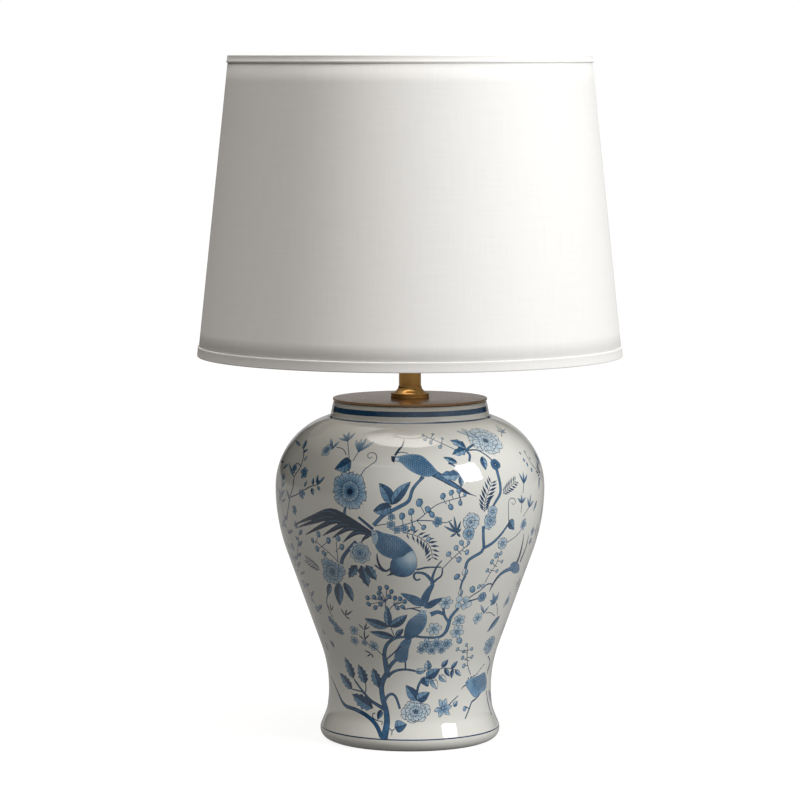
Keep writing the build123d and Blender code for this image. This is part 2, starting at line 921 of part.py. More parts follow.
PIECES = {
    "jar": make_jar(),
    "base_felt": make_felt(),
    "cord_gland": make_gland(),
    "gland_nut": make_gland_nut(),
    "floor_gasket": ring(
        floor_gasket_radius, stem_hole, gasket_bottom, floor_gasket_thickness
    ),
    "tension_plate": ring(
        tension_plate_radius, stem_hole, plate_bottom, tension_plate_thickness
    ),
    "lock_washer": make_lock_washer(),
    "earth_tag": make_earth_tag(),
    "base_nut": hexagon(
        base_nut_across_flats, base_nut_bottom, base_nut_thickness, stem_radius + flat_fit
    ),
    "terminal_block": make_block(),
    "terminal_screws": make_block_screws(),
    "live_wire": make_holder_wire(-1),
    "neutral_wire": make_holder_wire(1),
    "earth_wire": make_earth_wire(),
    "stem_rod": make_stem(),
    "cap_gasket": ring(
        neck_top_radius - cap_gasket_inset,
        neck_top_radius - cap_gasket_inset - cap_gasket_width,
        jar_height,
        cap_gasket_thickness,
    ),
    "cap_spigot": ring(
        neck_top_radius - neck_wall - spigot_clearance,
        neck_top_radius - neck_wall - spigot_clearance - spigot_wall,
        cap_bottom - spigot_height,
        spigot_height,
    ),
    "jar_cap": make_cap(),
    "neck_base": make_neck_base(),
    "neck_tube": ring(
        tube_radius, tube_radius - tube_wall, tube_bottom, tube_top_height - tube_bottom
    ),
    "tube_washer": ring(
        tube_washer_radius, stem_hole, tube_top_height, tube_washer_thickness
    ),
    "holder_cap": make_holder_cap(),
    "holder_grub_screw": make_grub_screw(),
    "holder_insert": make_insert(),
    "holder_screws": make_holder_screws(),
    "centre_contact": make_centre_contact(),
    "screw_shell": make_screw_shell(),
    "holder_skirt": make_skirt(),
    "lower_shade_ring": make_shade_ring(lower_ring_bottom, lower_ring_thickness, flat_fit),
    "upper_shade_ring": make_shade_ring(
        upper_ring_bottom, upper_ring_thickness, ring_thread_clearance
    ),
    "switch_bar": make_switch_bar(),
    "carrier_plate": make_carrier_plate(),
    "carrier_legs": make_carrier_legs(),
    "carrier_ring": make_carrier_ring(),
    "bulb_contact": make_bulb_contact(),
    "bulb_insulator": make_bulb_insulator(),
    "bulb_cap": make_bulb_cap(),
    "bulb_collar": make_bulb_collar(),
    "bulb_glass": make_bulb_glass(),
    "shade_fabric": shade_skin(0, shade_fabric_thickness),
    "shade_liner": shade_skin(shade_fabric_thickness, shade_liner_thickness),
    "shade_top_wire": make_shade_wire(top_wire_height),
    "shade_bottom_wire": make_shade_wire(bottom_wire_height),
    "shade_top_trim": make_top_trim(),
    "shade_bottom_trim": make_bottom_trim(),
    "duplex_ring": make_duplex_ring(),
    "duplex_arms": make_duplex_arms(),
}

os.makedirs("parts", exist_ok=True)
for name, piece in PIECES.items():
    solids = piece if isinstance(piece, list) else [piece]
    shape = solids[0] if len(solids) == 1 else Compound(children=solids)
    shape.label = name
    export_step(shape, f"parts/{name}.step")
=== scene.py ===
import bisect
import math
import random

import bpy
import numpy as np
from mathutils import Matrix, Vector
from mathutils.geometry import delaunay_2d_cdt


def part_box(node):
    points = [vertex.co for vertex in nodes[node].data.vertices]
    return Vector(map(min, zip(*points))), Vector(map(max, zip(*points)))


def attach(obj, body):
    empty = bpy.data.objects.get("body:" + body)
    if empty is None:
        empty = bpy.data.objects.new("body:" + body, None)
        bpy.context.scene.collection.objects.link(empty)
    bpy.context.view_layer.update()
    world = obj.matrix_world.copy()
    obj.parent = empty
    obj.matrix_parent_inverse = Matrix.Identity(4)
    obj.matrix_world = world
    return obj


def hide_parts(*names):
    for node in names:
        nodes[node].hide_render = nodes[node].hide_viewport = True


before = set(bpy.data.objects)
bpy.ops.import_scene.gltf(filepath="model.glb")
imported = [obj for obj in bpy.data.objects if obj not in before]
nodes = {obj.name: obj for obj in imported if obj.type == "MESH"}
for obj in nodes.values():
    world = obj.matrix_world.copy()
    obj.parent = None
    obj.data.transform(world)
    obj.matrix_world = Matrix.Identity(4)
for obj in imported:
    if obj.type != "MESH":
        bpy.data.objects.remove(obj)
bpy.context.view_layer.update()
MM = 0.001
random.seed(7)

# --- Jar: outline ---
# Porcelain, turned and fired, painted in cobalt under a clear glaze. It stands on a rim that is
# ground flat, and its floor is drilled for the stem. The outline runs from that rim to the lip.

RIM_Z, LIP_Z = 1.0, 304.5
BELLY_R, BELLY_Z, BELLY_ROUND, SHOULDER_ROUND = 120.5, 227.5, 170.0, 66.0
WAIST_R, WAIST_Z, WAIST_ROUND = 73.0, 45.6, 119.0
FLARE_Z, FLARE_ROUND = 29.0, 24.0
FOOT_R, FOOT_Z, FOOT_UPPER, FOOT_UNDER = 80.7, 9.0, 10.7, 9.0
NECK_FOOT_R, NECK_TOP_R, MOUTH_R = 71.2, 68.6, 62.5
NECK_FILLET, LIP_FILLET = 3.0, 1.2
WALL = 5.5
RECESS_R, RECESS_Z, FLOOR_Z, HOLE_R = 62.0, 24.0, 32.0, 5.15
OUTLINE_STEP = 0.5


def tangent_slope(hollow, hollow_r, round_centre, round_r):
    """Slope from vertical of the straight run between a hollow and a rounded arc, in degrees."""
    across = round_centre[0] - hollow[0]
    along = abs(round_centre[1] - hollow[1])
    turn = math.acos(-(hollow_r + round_r) / math.hypot(across, along))
    return math.degrees(turn - math.atan2(along, across))


def turned_arc(centre, radius, start, end):
    """Points of an arc, each with the direction that the clay's surface faces."""
    count = max(3, int(abs(radius * math.radians(end - start)) / OUTLINE_STEP))
    points = []
    for i in range(count + 1):
        a = math.radians(start + (end - start) * i / count)
        c, s = math.cos(a), math.sin(a)
        points.append((centre[0] + radius * c, centre[1] + radius * s, c, s))
    return points


def turned_line(start, end):
    """Points of a straight run between two outline points, ends left out."""
    length = math.hypot(end[0] - start[0], end[1] - start[1])
    count = int(length / OUTLINE_STEP)
    facing = ((end[1] - start[1]) / length, (start[0] - end[0]) / length)
    return [
        (start[0] + (end[0] - start[0]) * i / count, start[1] + (end[1] - start[1]) * i / count, *facing)
        for i in range(1, count)
    ]


belly_centre = (BELLY_R - BELLY_ROUND, BELLY_Z)
shoulder_centre = (BELLY_R - SHOULDER_ROUND, BELLY_Z)
waist_centre = (WAIST_R + WAIST_ROUND, WAIST_Z)
body_slope = tangent_slope(waist_centre, WAIST_ROUND, belly_centre, BELLY_ROUND)
flare_angle = math.degrees(math.asin((WAIST_Z - FLARE_Z) / WAIST_ROUND))
flare_cos, flare_sin = math.cos(math.radians(flare_angle)), math.sin(math.radians(flare_angle))
flare_reach = FLARE_ROUND - WAIST_ROUND
flare_centre = (waist_centre[0] + flare_reach * flare_cos, waist_centre[1] + flare_reach * flare_sin)
foot_centre = (FOOT_R - FOOT_UPPER, FOOT_Z)
foot_slope = tangent_slope(flare_centre, FLARE_ROUND, foot_centre, FOOT_UPPER)
under_angle = -math.degrees(math.asin((FOOT_Z - RIM_Z) / FOOT_UNDER))
shoulder_angle = math.degrees(math.acos((NECK_FOOT_R - shoulder_centre[0]) / SHOULDER_ROUND))

under = turned_arc((FOOT_R - FOOT_UNDER, FOOT_Z), FOOT_UNDER, under_angle, 0)
bulge = turned_arc(foot_centre, FOOT_UPPER, 0, foot_slope)
flare = turned_arc(flare_centre, -FLARE_ROUND, foot_slope, flare_angle)
waist = turned_arc(waist_centre, -WAIST_ROUND, flare_angle, -body_slope)
belly = turned_arc(belly_centre, BELLY_ROUND, -body_slope, 0)
fillet_share = math.degrees(NECK_FILLET * 0.62 / SHOULDER_ROUND)
shoulder = turned_arc(shoulder_centre, SHOULDER_ROUND, 0, shoulder_angle - fillet_share)
neck_foot_z = shoulder_centre[1] + SHOULDER_ROUND * math.sin(math.radians(shoulder_angle))
neck_lean = (NECK_FOOT_R - NECK_TOP_R) / (LIP_Z - neck_foot_z)
neck_start = (NECK_FOOT_R - neck_lean * 1.9, neck_foot_z + 1.9)
neck_end = (NECK_TOP_R + neck_lean * LIP_FILLET, LIP_Z - LIP_FILLET)
neck_facing = math.degrees(math.atan(neck_lean))
lip = turned_arc((NECK_TOP_R - LIP_FILLET, LIP_Z - LIP_FILLET), LIP_FILLET, neck_facing, 90)


def bent_corner(start, corner, end, count=6):
    """A small rounded inner corner, faced by turning from one side's direction to the other's."""
    points = []
    for i in range(1, count):
        t = i / count
        weights = ((1 - t) ** 2, 2 * t * (1 - t), t * t)
        r, z = (sum(w * p[k] for w, p in zip(weights, (start, corner, end))) for k in (0, 1))
        facing = Vector((start[2], start[3])).lerp(Vector((end[2], end[3])), t).normalized()
        points.append((r, z, *facing))
    return points


neck_facing_pair = (math.cos(math.radians(neck_facing)), math.sin(math.radians(neck_facing)))
neck_start = (*neck_start, *neck_facing_pair)
outline = [*under, *bulge[1:], *turned_line(bulge[-1], flare[0]), *flare, *waist[1:]]
outline += [*turned_line(waist[-1], belly[0]), *belly, *shoulder[1:]]
outline += bent_corner(shoulder[-1], (NECK_FOOT_R, neck_foot_z), neck_start)
outline += [neck_start, *turned_line(neck_start, neck_end), *lip]
up_side = [0.0]
for low, high in zip(outline, outline[1:]):
    up_side.append(up_side[-1] + math.hypot(high[0] - low[0], high[1] - low[1]))
side_r, side_z, facing_r, facing_z = (np.array(column) for column in zip(*outline))
up_side = np.array(up_side)

# --- Jar: brushwork ---
# The pattern is a traditional garden of branches, flowers and birds. It is drawn as a flat sheet,
# seen from the front at eye level, and laid on the jar along the lines of sight. Sheet places are
# across and down in units of 0.887 mm, with the jar's axis at 410.

SHEET_AXIS, SHEET_MIDDLE, SHEET_REACH = 410.0, 400.0, 3679.0
EYE_Y, EYE_Z, EYE_PITCH = -3277.6, 611.6, math.radians(5.349)
ROLL_R = 100.0
DEEP, LINE = 1.0, 0.97
washes = []


def on_jar(place):
    """A sheet place as (distance round the jar at the roll radius, distance up its side)."""
    right = (place[0] - SHEET_AXIS) / SHEET_REACH
    rise = (SHEET_MIDDLE - place[1]) / SHEET_REACH
    forward = math.cos(EYE_PITCH) + rise * math.sin(EYE_PITCH)
    down = -math.sin(EYE_PITCH) + rise * math.cos(EYE_PITCH)
    reach = np.linspace(-128.0, 30.0, 80) - EYE_Y
    along = reach / forward
    x, y, z = right * along, forward * along + EYE_Y, EYE_Z + down * along
    clear = np.hypot(x, y) - np.interp(z, side_z, side_r)
    inside = np.nonzero(clear < 0)[0]
    if len(inside) == 0:
        k, share = int(np.argmin(clear)), 0.0
    else:
        k = max(1, int(inside[0]))
        share = clear[k] / (clear[k] - clear[k - 1])
    before = max(0, k - 1)
    x, y, z = (float(v[k] + (v[before] - v[k]) * share) for v in (x, y, z))
    return (math.atan2(x, -y) * ROLL_R, float(np.interp(z, side_z, up_side)))


def stretch(s):
    """How wide one unit of the rolled sheet is at a distance up the side."""
    return float(np.interp(s, up_side, side_r)) / ROLL_R


def beside(place, across, up):
    """A place some real millimetres across and up from another, on the jar's side."""
    s = place[1] + up
    return (place[0] + across / stretch((s + place[1]) / 2), s)


def span(a, b):
    """Real distance across and up from one place to another."""
    return ((b[0] - a[0]) * stretch((a[1] + b[1]) / 2), b[1] - a[1])


def wash(edge, tone, fade=None):
    """A filled area. A fade is (place, reach, tone there beyond that reach)."""
    area = sum(a[0] * b[1] - b[0] * a[1] for a, b in zip(edge, edge[1:] + edge[:1]))
    washes.append((edge if area > 0 else edge[::-1], tone, fade))


def flow(path, steps, closed=False):
    """A smooth line through the places, which passes through each of them."""
    if len(path) < 3 and not closed:
        steps = 1 if steps < 2 else steps
    count = len(path)
    line = []
    for i in range(count if closed else count - 1):
        if closed:
            a, b, c, d = (path[(i + k) % count] for k in (-1, 0, 1, 2))
        else:
            a, b, c = path[max(0, i - 1)], path[i], path[i + 1]
            d = path[min(count - 1, i + 2)]
        for k in range(steps):
            t = k / steps
            line.append(
                tuple(
                    0.5 * (2 * b[j] + (c[j] - a[j]) * t + (2 * a[j] - 5 * b[j] + 4 * c[j] - d[j]) * t * t
                           + (3 * b[j] - a[j] - 3 * c[j] + d[j]) * t ** 3)
                    for j in (0, 1)
                )
            )
    return line if closed else line + [path[-1]]


def brush(path, widths, tone, steps=3, fade=None):
    """A brush stroke along jar places. The widths, in mm, are spread evenly along it."""
    line = flow(path, steps)
    last = len(line) - 1
    left, right = [], []
    for i, p in enumerate(line):
        ahead = span(line[max(0, i - 1)], line[min(last, i + 1)])
        size = math.hypot(*ahead) or 1.0
        at = i / last * (len(widths) - 1)
        k = min(int(at), len(widths) - 2) if len(widths) > 1 else 0
        width = widths[k] if len(widths) == 1 else widths[k] + (widths[k + 1] - widths[k]) * (at - k)
        half = max(width, 0.08) / 2
        side = (-ahead[1] / size * half, ahead[0] / size * half)
        left.append(beside(p, *side))
        right.append(beside(p, -side[0], -side[1]))
    for i in range(0, last, 5):
        j = min(last, i + 5)
        wash(left[i:j + 1] + right[i:j + 1][::-1], tone, fade)


def stem(places, *widths, tone=0.88, steps=3):
    """A thin painted stalk through sheet places."""
    brush([on_jar(p) for p in places], [w + 0.3 for w in widths or (0.5, 0.4)], tone, steps)


def branch(places, *widths, tone=0.66):
    """A woody branch through sheet places: dark edges with a lighter wash between them."""
    path = [on_jar(p) for p in places]
    brush(path, [w + 0.3 for w in widths], LINE, 4)
    brush(path, [max(0.2, w - 0.75) for w in widths], tone, 4)


def leaf(base, tip, width, tone=0.66, bow=0.0, saw=0, veins=3, full=0.8, edge=0.5):
    """A leaf between jar places, in mm across. Saw gives its edge that many teeth a side."""
    across, up = span(base, tip)
    length = math.hypot(across, up)
    along, over = (across / length, up / length), (-up / length, across / length)

    def spot(t, off):
        sway = off + bow * 4 * t * (1 - t)
        return beside(base, along[0] * length * t + over[0] * sway, along[1] * length * t + over[1] * sway)

    def half(t):
        return width / 2 * math.sin(math.pi * t ** full) ** 0.85

    count = max(5, 2 * saw + 1) if saw else (6 if length > 6 else 5)
    marks = [(i + 1) / (count + 1) for i in range(count)]
    notch = [1.0 + 0.17 * (1 if i % 2 else -1) for i in range(count)] if saw else [1.0] * count
    upper = [spot(t, half(t) * n) for t, n in zip(marks, notch)]
    lower = [spot(t, -half(t) * n) for t, n in zip(marks, notch)]
    wash([base, *lower, tip, *upper[::-1]], LINE)
    if width > 1.6:
        trim = max(0.35, 1 - 2 * edge / width)
        shrink = [0.5 + (t - 0.5) * 0.93 for t in marks]
        upper = [spot(t, half(t) * n * trim) for t, n in zip(shrink, notch)]
        lower = [spot(t, -half(t) * n * trim) for t, n in zip(shrink, notch)]
        middle = [spot(0.4, 0), spot(0.7, 0)]
        wash([spot(0.05, 0), *lower, spot(0.95, 0), *middle[::-1]], tone + 0.18, (base, length,
            tone - 0.06))
        wash([spot(0.05, 0), *middle, spot(0.95, 0), *upper[::-1]], tone - 0.2, (base, length, tone - 0.36))
    if veins and width > 3:
        brush([spot(0.04, 0), spot(0.5, 0), spot(0.93, 0)], (0.6, 0.36), LINE, 2)
        for i in range(veins):
            t = 0.2 + 0.55 * i / max(1, veins - 1)
            for sign in (1, -1):
                reach = half(min(0.97, t + 0.16)) * 0.92 * sign
                brush([spot(t, 0), spot(t + 0.14, reach)], (0.5, 0.3), LINE, 1)


def sheet_leaf(base, tip, width, **finish):
    leaf(on_jar(base), on_jar(tip), width, **finish)


def ring_of(centre, size, count, turn=0.0, shape=None):
    """Places round a centre, in mm, pushed in and out by the shape's value at each angle."""
    places = []
    for i in range(count):
        a = turn + 2 * math.pi * i / count
        reach = size * (shape(a) if shape else 1.0)
        places.append(beside(centre, math.cos(a) * reach, math.sin(a) * reach))
    return places


def petal(centre, angle, start, reach, width, tone, deep, frill=0, lines=0, edge=0.48, point=0.0):
    """One petal, from its start to its reach out from a flower's centre."""
    c, s = math.cos(angle), math.sin(angle)

    def spot(out, off):
        return beside(centre, c * out - s * off, s * out + c * off)

    marks = [0.0, 0.25, 0.55, 0.8, 0.95]
    halves = [0.3, 0.62, 0.98, 0.82, 0.42 * (1 - point)]
    if point:
        halves = [0.3, 0.75, 0.9, 0.5, 0.2]
    rim = [random.uniform(0.86, 1.03) for k in range(frill)]
    for trim, shade in ((0.0, LINE), (edge, tone)):
        ends = start + trim * 0.6, reach - trim
        wide = max(0.15, width / 2 - trim)
        upper = [spot(ends[0] + (ends[1] - ends[0]) * t, wide * h) for t, h in zip(marks, halves)]
        lower = [spot(ends[0] + (ends[1] - ends[0]) * t, -wide * h) for t, h in zip(marks, halves)]
        top = [spot(ends[1], 0)]
        if frill:
            top = [
                spot(ends[1] * rim[k], wide * (0.5 - k / (frill - 1)) * -0.9)
                for k in range(frill)
            ]
        fade = (spot(start, 0), (reach - start) * 0.9, tone) if shade is not LINE else None
        wash([*lower, *top, *upper[::-1]], deep if fade else shade, fade)
    for k in range(lines):
        off = (k - (lines - 1) / 2) / max(1, lines) * 1.3
        near, far = (0.58, 0.97) if k % 2 else (0.05, 0.6)
        ends = [spot(start + (reach - start) * t, off * width * (0.2 + 0.38 * t)) for t in (near, far)]
        brush(ends[::-1] if k % 2 else ends, (0.55, 0.25), LINE, 1)


def blossom(place, size, petals=5, tone=0.22, deep=0.5, turn=None, heart=0.85, lines=0):
    """A small open flower of rounded petals, size in mm from centre to tip."""
    centre = on_jar(place)
    turn = random.uniform(0, math.tau) if turn is None else turn
    width = size * 1.18 * math.sin(math.pi / petals) * 1.2
    for i in range(petals):
        grow = size * random.uniform(0.9, 1.14)
        angle = turn + math.tau * i / petals + random.uniform(-0.12, 0.12)
        petal(centre, angle, size * 0.12, grow, width, tone * 0.7, deep, lines=lines, edge=0.42)
    wash(ring_of(centre, size * 0.26, 7), LINE)
    wash(ring_of(centre, size * 0.15, 6), 0.35)
    for i in range(petals):
        a = turn + math.tau * (i + 0.5) / petals
        dot = beside(centre, math.cos(a) * size * 0.4, math.sin(a) * size * 0.4)
        wash(ring_of(dot, 0.3, 5), heart)


def layered_flower(place, size, rings, tone=0.2, deep=0.45, turn=0.0, flat=1.0, frill=3, lines=2):
    """A full flower. Rings are (petals, share of the size, share where each starts)."""
    centre = on_jar(place)
    for index, (petals, out, start) in enumerate(rings):
        width = 2.1 * size * out * math.sin(math.pi / petals)
        for i in range(petals):
            a = turn + index * 0.4 + math.tau * i / petals
            a += random.uniform(-0.5, 0.5) / petals
            squash = 1 - (1 - flat) * math.sin(a) ** 2
            grow = size * out * squash * random.uniform(0.84, 1.14)
            petal(centre, a, size * start * squash, grow, width, tone, deep, frill, lines)
    wash(ring_of(centre, size * 0.14, 8), LINE)
    for i in range(6):
        a = math.tau * i / 6
        dot = beside(centre, math.cos(a) * size * 0.07, math.sin(a) * size * 0.07)
        wash(ring_of(dot, 0.28, 5), 0.3)


def trumpet(base, tips, width, tone=0.2, deep=0.55):
    """A lily seen from the side: pointed petals from one base to each sheet place."""
    foot = on_jar(base)
    for tip in tips:
        end = on_jar(tip)
        across, up = span(foot, end)
        petal(foot, math.atan2(up, across), 0.2, math.hypot(across, up), width, tone, deep, lines=1,
            point=0.5)
    wash(ring_of(foot, width * 0.28, 7), LINE - 0.15)


def berry(place, size=1.5, tone=0.6, stalk=None):
    """An oval fruit with a dark edge and a lit side, on a stalk from another sheet place."""
    if stalk:
        stem([stalk, place], 0.4, 0.3, steps=1)
    centre = on_jar(place)
    away = random.uniform(0.9, 2.3)
    shape = lambda a: 0.96 + 0.14 * math.cos(a - away) + 0.14 * math.cos(2 * (a - away))
    wash(ring_of(centre, size, 8, 0.2, shape), LINE)
    lit = beside(centre, -size * 0.5, size * 0.5)
    wash(ring_of(centre, size - 0.5, 7, 0.2, shape), tone * 0.45, (lit, size * 1.7, tone + 0.12))


def berry_spray(path, fruit, size=1.5, tone=0.6):
    """A thin stalk with fruit hung from its nearest place, and a narrow leaf by every other one."""
    stem(path, 0.5, 0.4)
    dense = flow([tuple(map(float, p)) for p in path], 4)
    for i, item in enumerate(fruit):
        near = min(dense, key=lambda p: (p[0] - item[0]) ** 2 + (p[1] - item[1] - 1.5) ** 2)
        berry(item[:2], item[2] if len(item) > 2 else size, tone, near)
        a = math.atan2(near[1] - item[1], near[0] - item[0]) + random.uniform(-0.7, 0.7)
        foot = on_jar(near)
        blade = [(0.0, 0.0), (1.6, 0.5), (3.4, 0.0), (1.6, -0.5)]
        if i % 2:
            c, s = math.cos(a), -math.sin(a)
            wash([beside(foot, u * c - v * s, u * s + v * c) for u, v in blade], LINE)


def fern(path, reach, pairs, lean=0.82, tone=0.92, sides=(1, -1)):
    """A frond: narrow leaflets either side of a stalk, reach in mm."""
    line = flow([on_jar(p) for p in path], 4)
    brush(line, (0.7, 0.5), tone, 1)
    last = len(line) - 1
    for i in range(pairs):
        at = (i + 0.6) / pairs * last
        k = min(int(at), last - 1)
        p = tuple(line[k][j] + (line[k + 1][j] - line[k][j]) * (at - k) for j in (0, 1))
        ahead = span(line[k], line[k + 1])
        heading = math.atan2(ahead[1], ahead[0])
        grow = 1.3 * reach * (0.62 + 0.5 * math.sin(math.pi * (i + 0.8) / (pairs + 0.8)))
        for side in sides:
            a = heading + side * lean
            tip = beside(p, math.cos(a) * grow, math.sin(a) * grow)
            swell = beside(p, math.cos(a + 0.3 * side) * grow * 0.5, math.sin(a + 0.3 * side) * grow * 0.5)
            under = beside(p, math.cos(a - 0.2 * side) * grow * 0.5, math.sin(a - 0.2 * side) * grow * 0.5)
            wash([p, under, tip, swell], tone)


def blades(base, tips, width=1.3, tone=0.86):
    """Narrow pointed leaves from one sheet place to each of the others."""
    for tip in tips:
        sheet_leaf(base, tip, width, tone=tone, veins=0, full=0.9)


def plumage(edge, tone, fade=None, rows=0, heading=0.0, pitch=2.0, mark=1.1, line=0.3, ink=LINE):
    """A bird's part within sheet places, with rows of small feather marks that face a heading."""
    shape = flow([on_jar(p) for p in edge], 3, closed=True)
    wash(shape, LINE)
    middle = (sum(p[0] for p in shape) / len(shape), sum(p[1] for p in shape) / len(shape))
    inner = []
    for p in shape:
        across, up = span(middle, p)
        size = math.hypot(across, up)
        inner.append(beside(middle, across * (1 - line / size), up * (1 - line / size)))
    wash(inner, tone, fade)
    if not rows:
        return
    poly = [span(middle, p) for p in inner]
    reach = max(math.hypot(*p) for p in poly)
    c, s = math.cos(heading), math.sin(heading)
    count = int(2 * reach / pitch) + 1
    for i in range(count):
        for j in range(count):
            a = (i - count / 2 + (0.5 if j % 2 else 0.0)) * pitch + random.uniform(-0.2, 0.2)
            b = (j - count / 2) * pitch * 0.8 + random.uniform(-0.15, 0.15)
            x, y = a * c - b * s, a * s + b * c
            if within(poly, x, y) and within(poly, x * 1.12, y * 1.12):
                spot = beside(middle, x, y)
                scale = []
                for turn, far in ((0.0, 0.55), (1.9, 0.42), (math.pi, 0.12), (-1.9, 0.42)):
                    turn += heading
                    scale.append(beside(spot, math.cos(turn) * mark * far, math.sin(turn) * mark * far))
                wash(scale, ink)


def within(poly, x, y):
    """Whether a point lies inside a closed outline."""
    hit = False
    for (ax, ay), (bx, by) in zip(poly, poly[1:] + poly[:1]):
        if (ay > y) != (by > y) and x < (bx - ax) * (y - ay) / (by - ay) + ax:
            hit = not hit
    return hit

# --- Jar: the painted garden ---
# Branches and stalks are brushed first, then leaves, flowers and birds over them, from the
# shoulder down to the foot. Cobalt is thick and dark in the lines and thin in the washes.

# shoulder, left: open flower, its broad leaf, lilies and a tendril
branch([(345.6, 519), (344.5, 513), (345.5, 507)], 3.2, 2.0)
layered_flower((350, 491.5), 18.0, [(6, 1.0, 0.22), (5, 0.52, 0.1)], tone=0.26, deep=0.6, turn=0.3,
    frill=4, lines=7)
wash(ring_of(on_jar((350, 491.8)), 2.4, 9, 0, lambda a: 1 + 0.2 * math.cos(3 * a)), LINE)
sheet_leaf((351.5, 460.5), (334.4, 469.2), 13.5, tone=0.76, full=0.6, bow=1.4, veins=4)
stem([(349.2, 474), (349.2, 466), (349, 454.5), (347.8, 441)], 0.5, 0.4)
stem([(346.5, 455), (343, 449), (336.6, 447.2)], 0.5, 0.4)
stem([(353, 461), (356, 456), (358.8, 451.4)], 0.5, 0.4)
trumpet((347.8, 441), [(338.9, 438.2), (343.4, 433.6), (349.2, 431.6), (355.7, 432.4)], 3.0, tone=0.3)
trumpet((358.8, 451.6), [(356.2, 439.6), (361.4, 438.8), (367, 438.2), (374.5, 441.6)], 3.6)
blossom((326.6, 450), 6.2, 5, tone=0.26, deep=0.6, turn=0.4, lines=1)
trumpet((332.6, 448.6), [(331, 438.4), (339.4, 441)], 3.4, tone=0.4)
stem([(361.4, 475), (364.5, 469.7), (370.3, 465.1), (375.3, 461.7), (376.8, 457.5), (375.6, 454), (371.8,
    452.5),
      (368.2, 454), (367.9, 456.8), (370.3, 458.3), (372.3, 456.7)], 0.6, 0.45, 0.3)
for i in range(15):
    for j in range(-2, 3):
        spread = 1 - (i / 7 - 1) ** 2
        if abs(j) <= 2.4 * spread:
            dot = beside(on_jar((306.8 + 1.62 * i + j * 0.9, 437.2 - 0.94 * i + j * 1.5)), 0,
                random.uniform(-0.3, 0.3))
            wash(ring_of(dot, 0.52, 6), random.uniform(0.5, 0.8))

# shoulder, far left: hanging blossom stalks
branch([(287, 521), (290, 498), (293, 487), (294.6, 476), (300.6, 467), (303.6, 456), (304, 447)], 1.3,
    1.0, 0.7)
stem([(291, 497), (298, 494), (306, 489), (312, 486), (318, 484.5)], 0.8, 0.5)
stem([(301, 466.5), (297, 463), (291.5, 470)], 0.6, 0.4)
for place, size in (((294.2, 468.5), 4.4), ((304.2, 472.4), 5.2), ((302, 493.6), 4.6), ((294.6, 510), 4.4),
    ((318.6, 482.4), 2.6)):
    blossom(place, size, 5, tone=0.5, deep=0.78)
for base, tip, width in (((304, 461), (307.6, 455.6), 2.6), ((304.3, 487), (307, 480.2), 2.6), ((312.8,
    485), (313.4, 477.4), 3.4),
                         ((316.8, 483.6), (318, 474.6), 3.4), ((319, 483), (325, 476.6), 2.8), ((311.6,
                             488), (313.6, 495.6), 4.4),
                         ((317.6, 486), (320, 490.6), 3.0), ((303.6, 449), (306.4, 439.5), 5.4), ((303,
                             452), (308.2, 449.6), 3.4),
                         ((301, 446), (295.6, 440), 2.6), ((294, 477), (289, 462), 2.8), ((290, 500),
                             (286.2, 489), 3.2)):
    sheet_leaf(base, tip, width, tone=0.62, veins=1)

for path in ([(284, 462), (281.6, 486), (282.6, 510), (288, 533)], [(297.6, 560), (298, 546), (299.6, 531)],
             [(294, 556), (297.4, 567), (301.6, 577)], [(304.6, 582), (311, 596), (321, 614)]):
    stem(path, 0.7, 0.5)
    for i, (x, y) in enumerate(flow(path, 3)):
        tip = x + random.uniform(3.0, 5.4) * (1 if i % 2 else -1), y - random.uniform(0.5, 6.0)
        if i % 4 == 2:
            blossom(tip, random.uniform(3.0, 4.2), tone=0.3, deep=0.7)
        else:
            sheet_leaf((x, y), tip, random.uniform(2.6, 4.0), tone=0.7, veins=0)

for base, tip, width in (((528, 440), (536, 455), 3.6), ((536.6, 461), (538.6, 470), 3.0), ((539, 476),
    (538.6, 490), 4.0),
                         ((537, 500), (533, 512), 3.4), ((281, 447), (288, 437), 4.6), ((279, 500), (285,
                             490), 4.4),
                         ((281.5, 528), (286, 519), 4.2), ((291, 574), (296, 563), 4.0), ((300, 604),
                             (304.5, 594), 3.8)):
    sheet_leaf(base, tip, width, tone=0.8, veins=0)
for place, size in (((532.6, 531), 4.2), ((530.4, 541), 3.6), ((507.4, 601), 4.4), ((494.6, 600), 4.2),
    ((283, 478), 4.6),
                    ((288.6, 546), 4.0), ((311, 622), 3.6), ((316, 640), 3.8), ((505, 640), 3.6)):
    blossom(place, size, tone=0.3, deep=0.7)

# long-tailed bird: tail, twig, wing and breast
branch([(358.4, 517), (365, 522.6), (373, 529.4)], 2.0, 2.6, tone=0.8)
tail_root = (373.5, 535)
for tip, lift, width in (((294.3, 525), (331, 511.5), 6.0), ((297.4, 527.8), (332, 517), 6.2), ((305,
    535.2), (336, 520.4), 6.0),
                         ((322.4, 536), (345, 524.5), 5.6), ((332.2, 538.2), (350, 528), 5.0), ((343,
                             542.6), (356, 532.6), 4.6),
                         ((361, 543), (367, 536.4), 3.8)):
    brush([on_jar(p) for p in (tail_root, ((tail_root[0] + lift[0] * 1.2) / 2.2,
        (tail_root[1] + lift[1] * 1.2) / 2.2 - 1.4),
                               lift, ((lift[0] + tip[0] * 1.1) / 2.1,
                                   (lift[1] + tip[1] * 1.1) / 2.1 - 1.0), tip)],
          (4.0, width, width, width * 0.66, 0.3), DEEP, 4)
    brush([on_jar(p) for p in ((tail_root[0] - 2, tail_root[1] - 1), lift, ((lift[0] + tip[0]) / 2,
        (lift[1] + tip[1]) / 2 - 1.5))],
          (0.3, 0.5, 0.2), 0.62, 3)
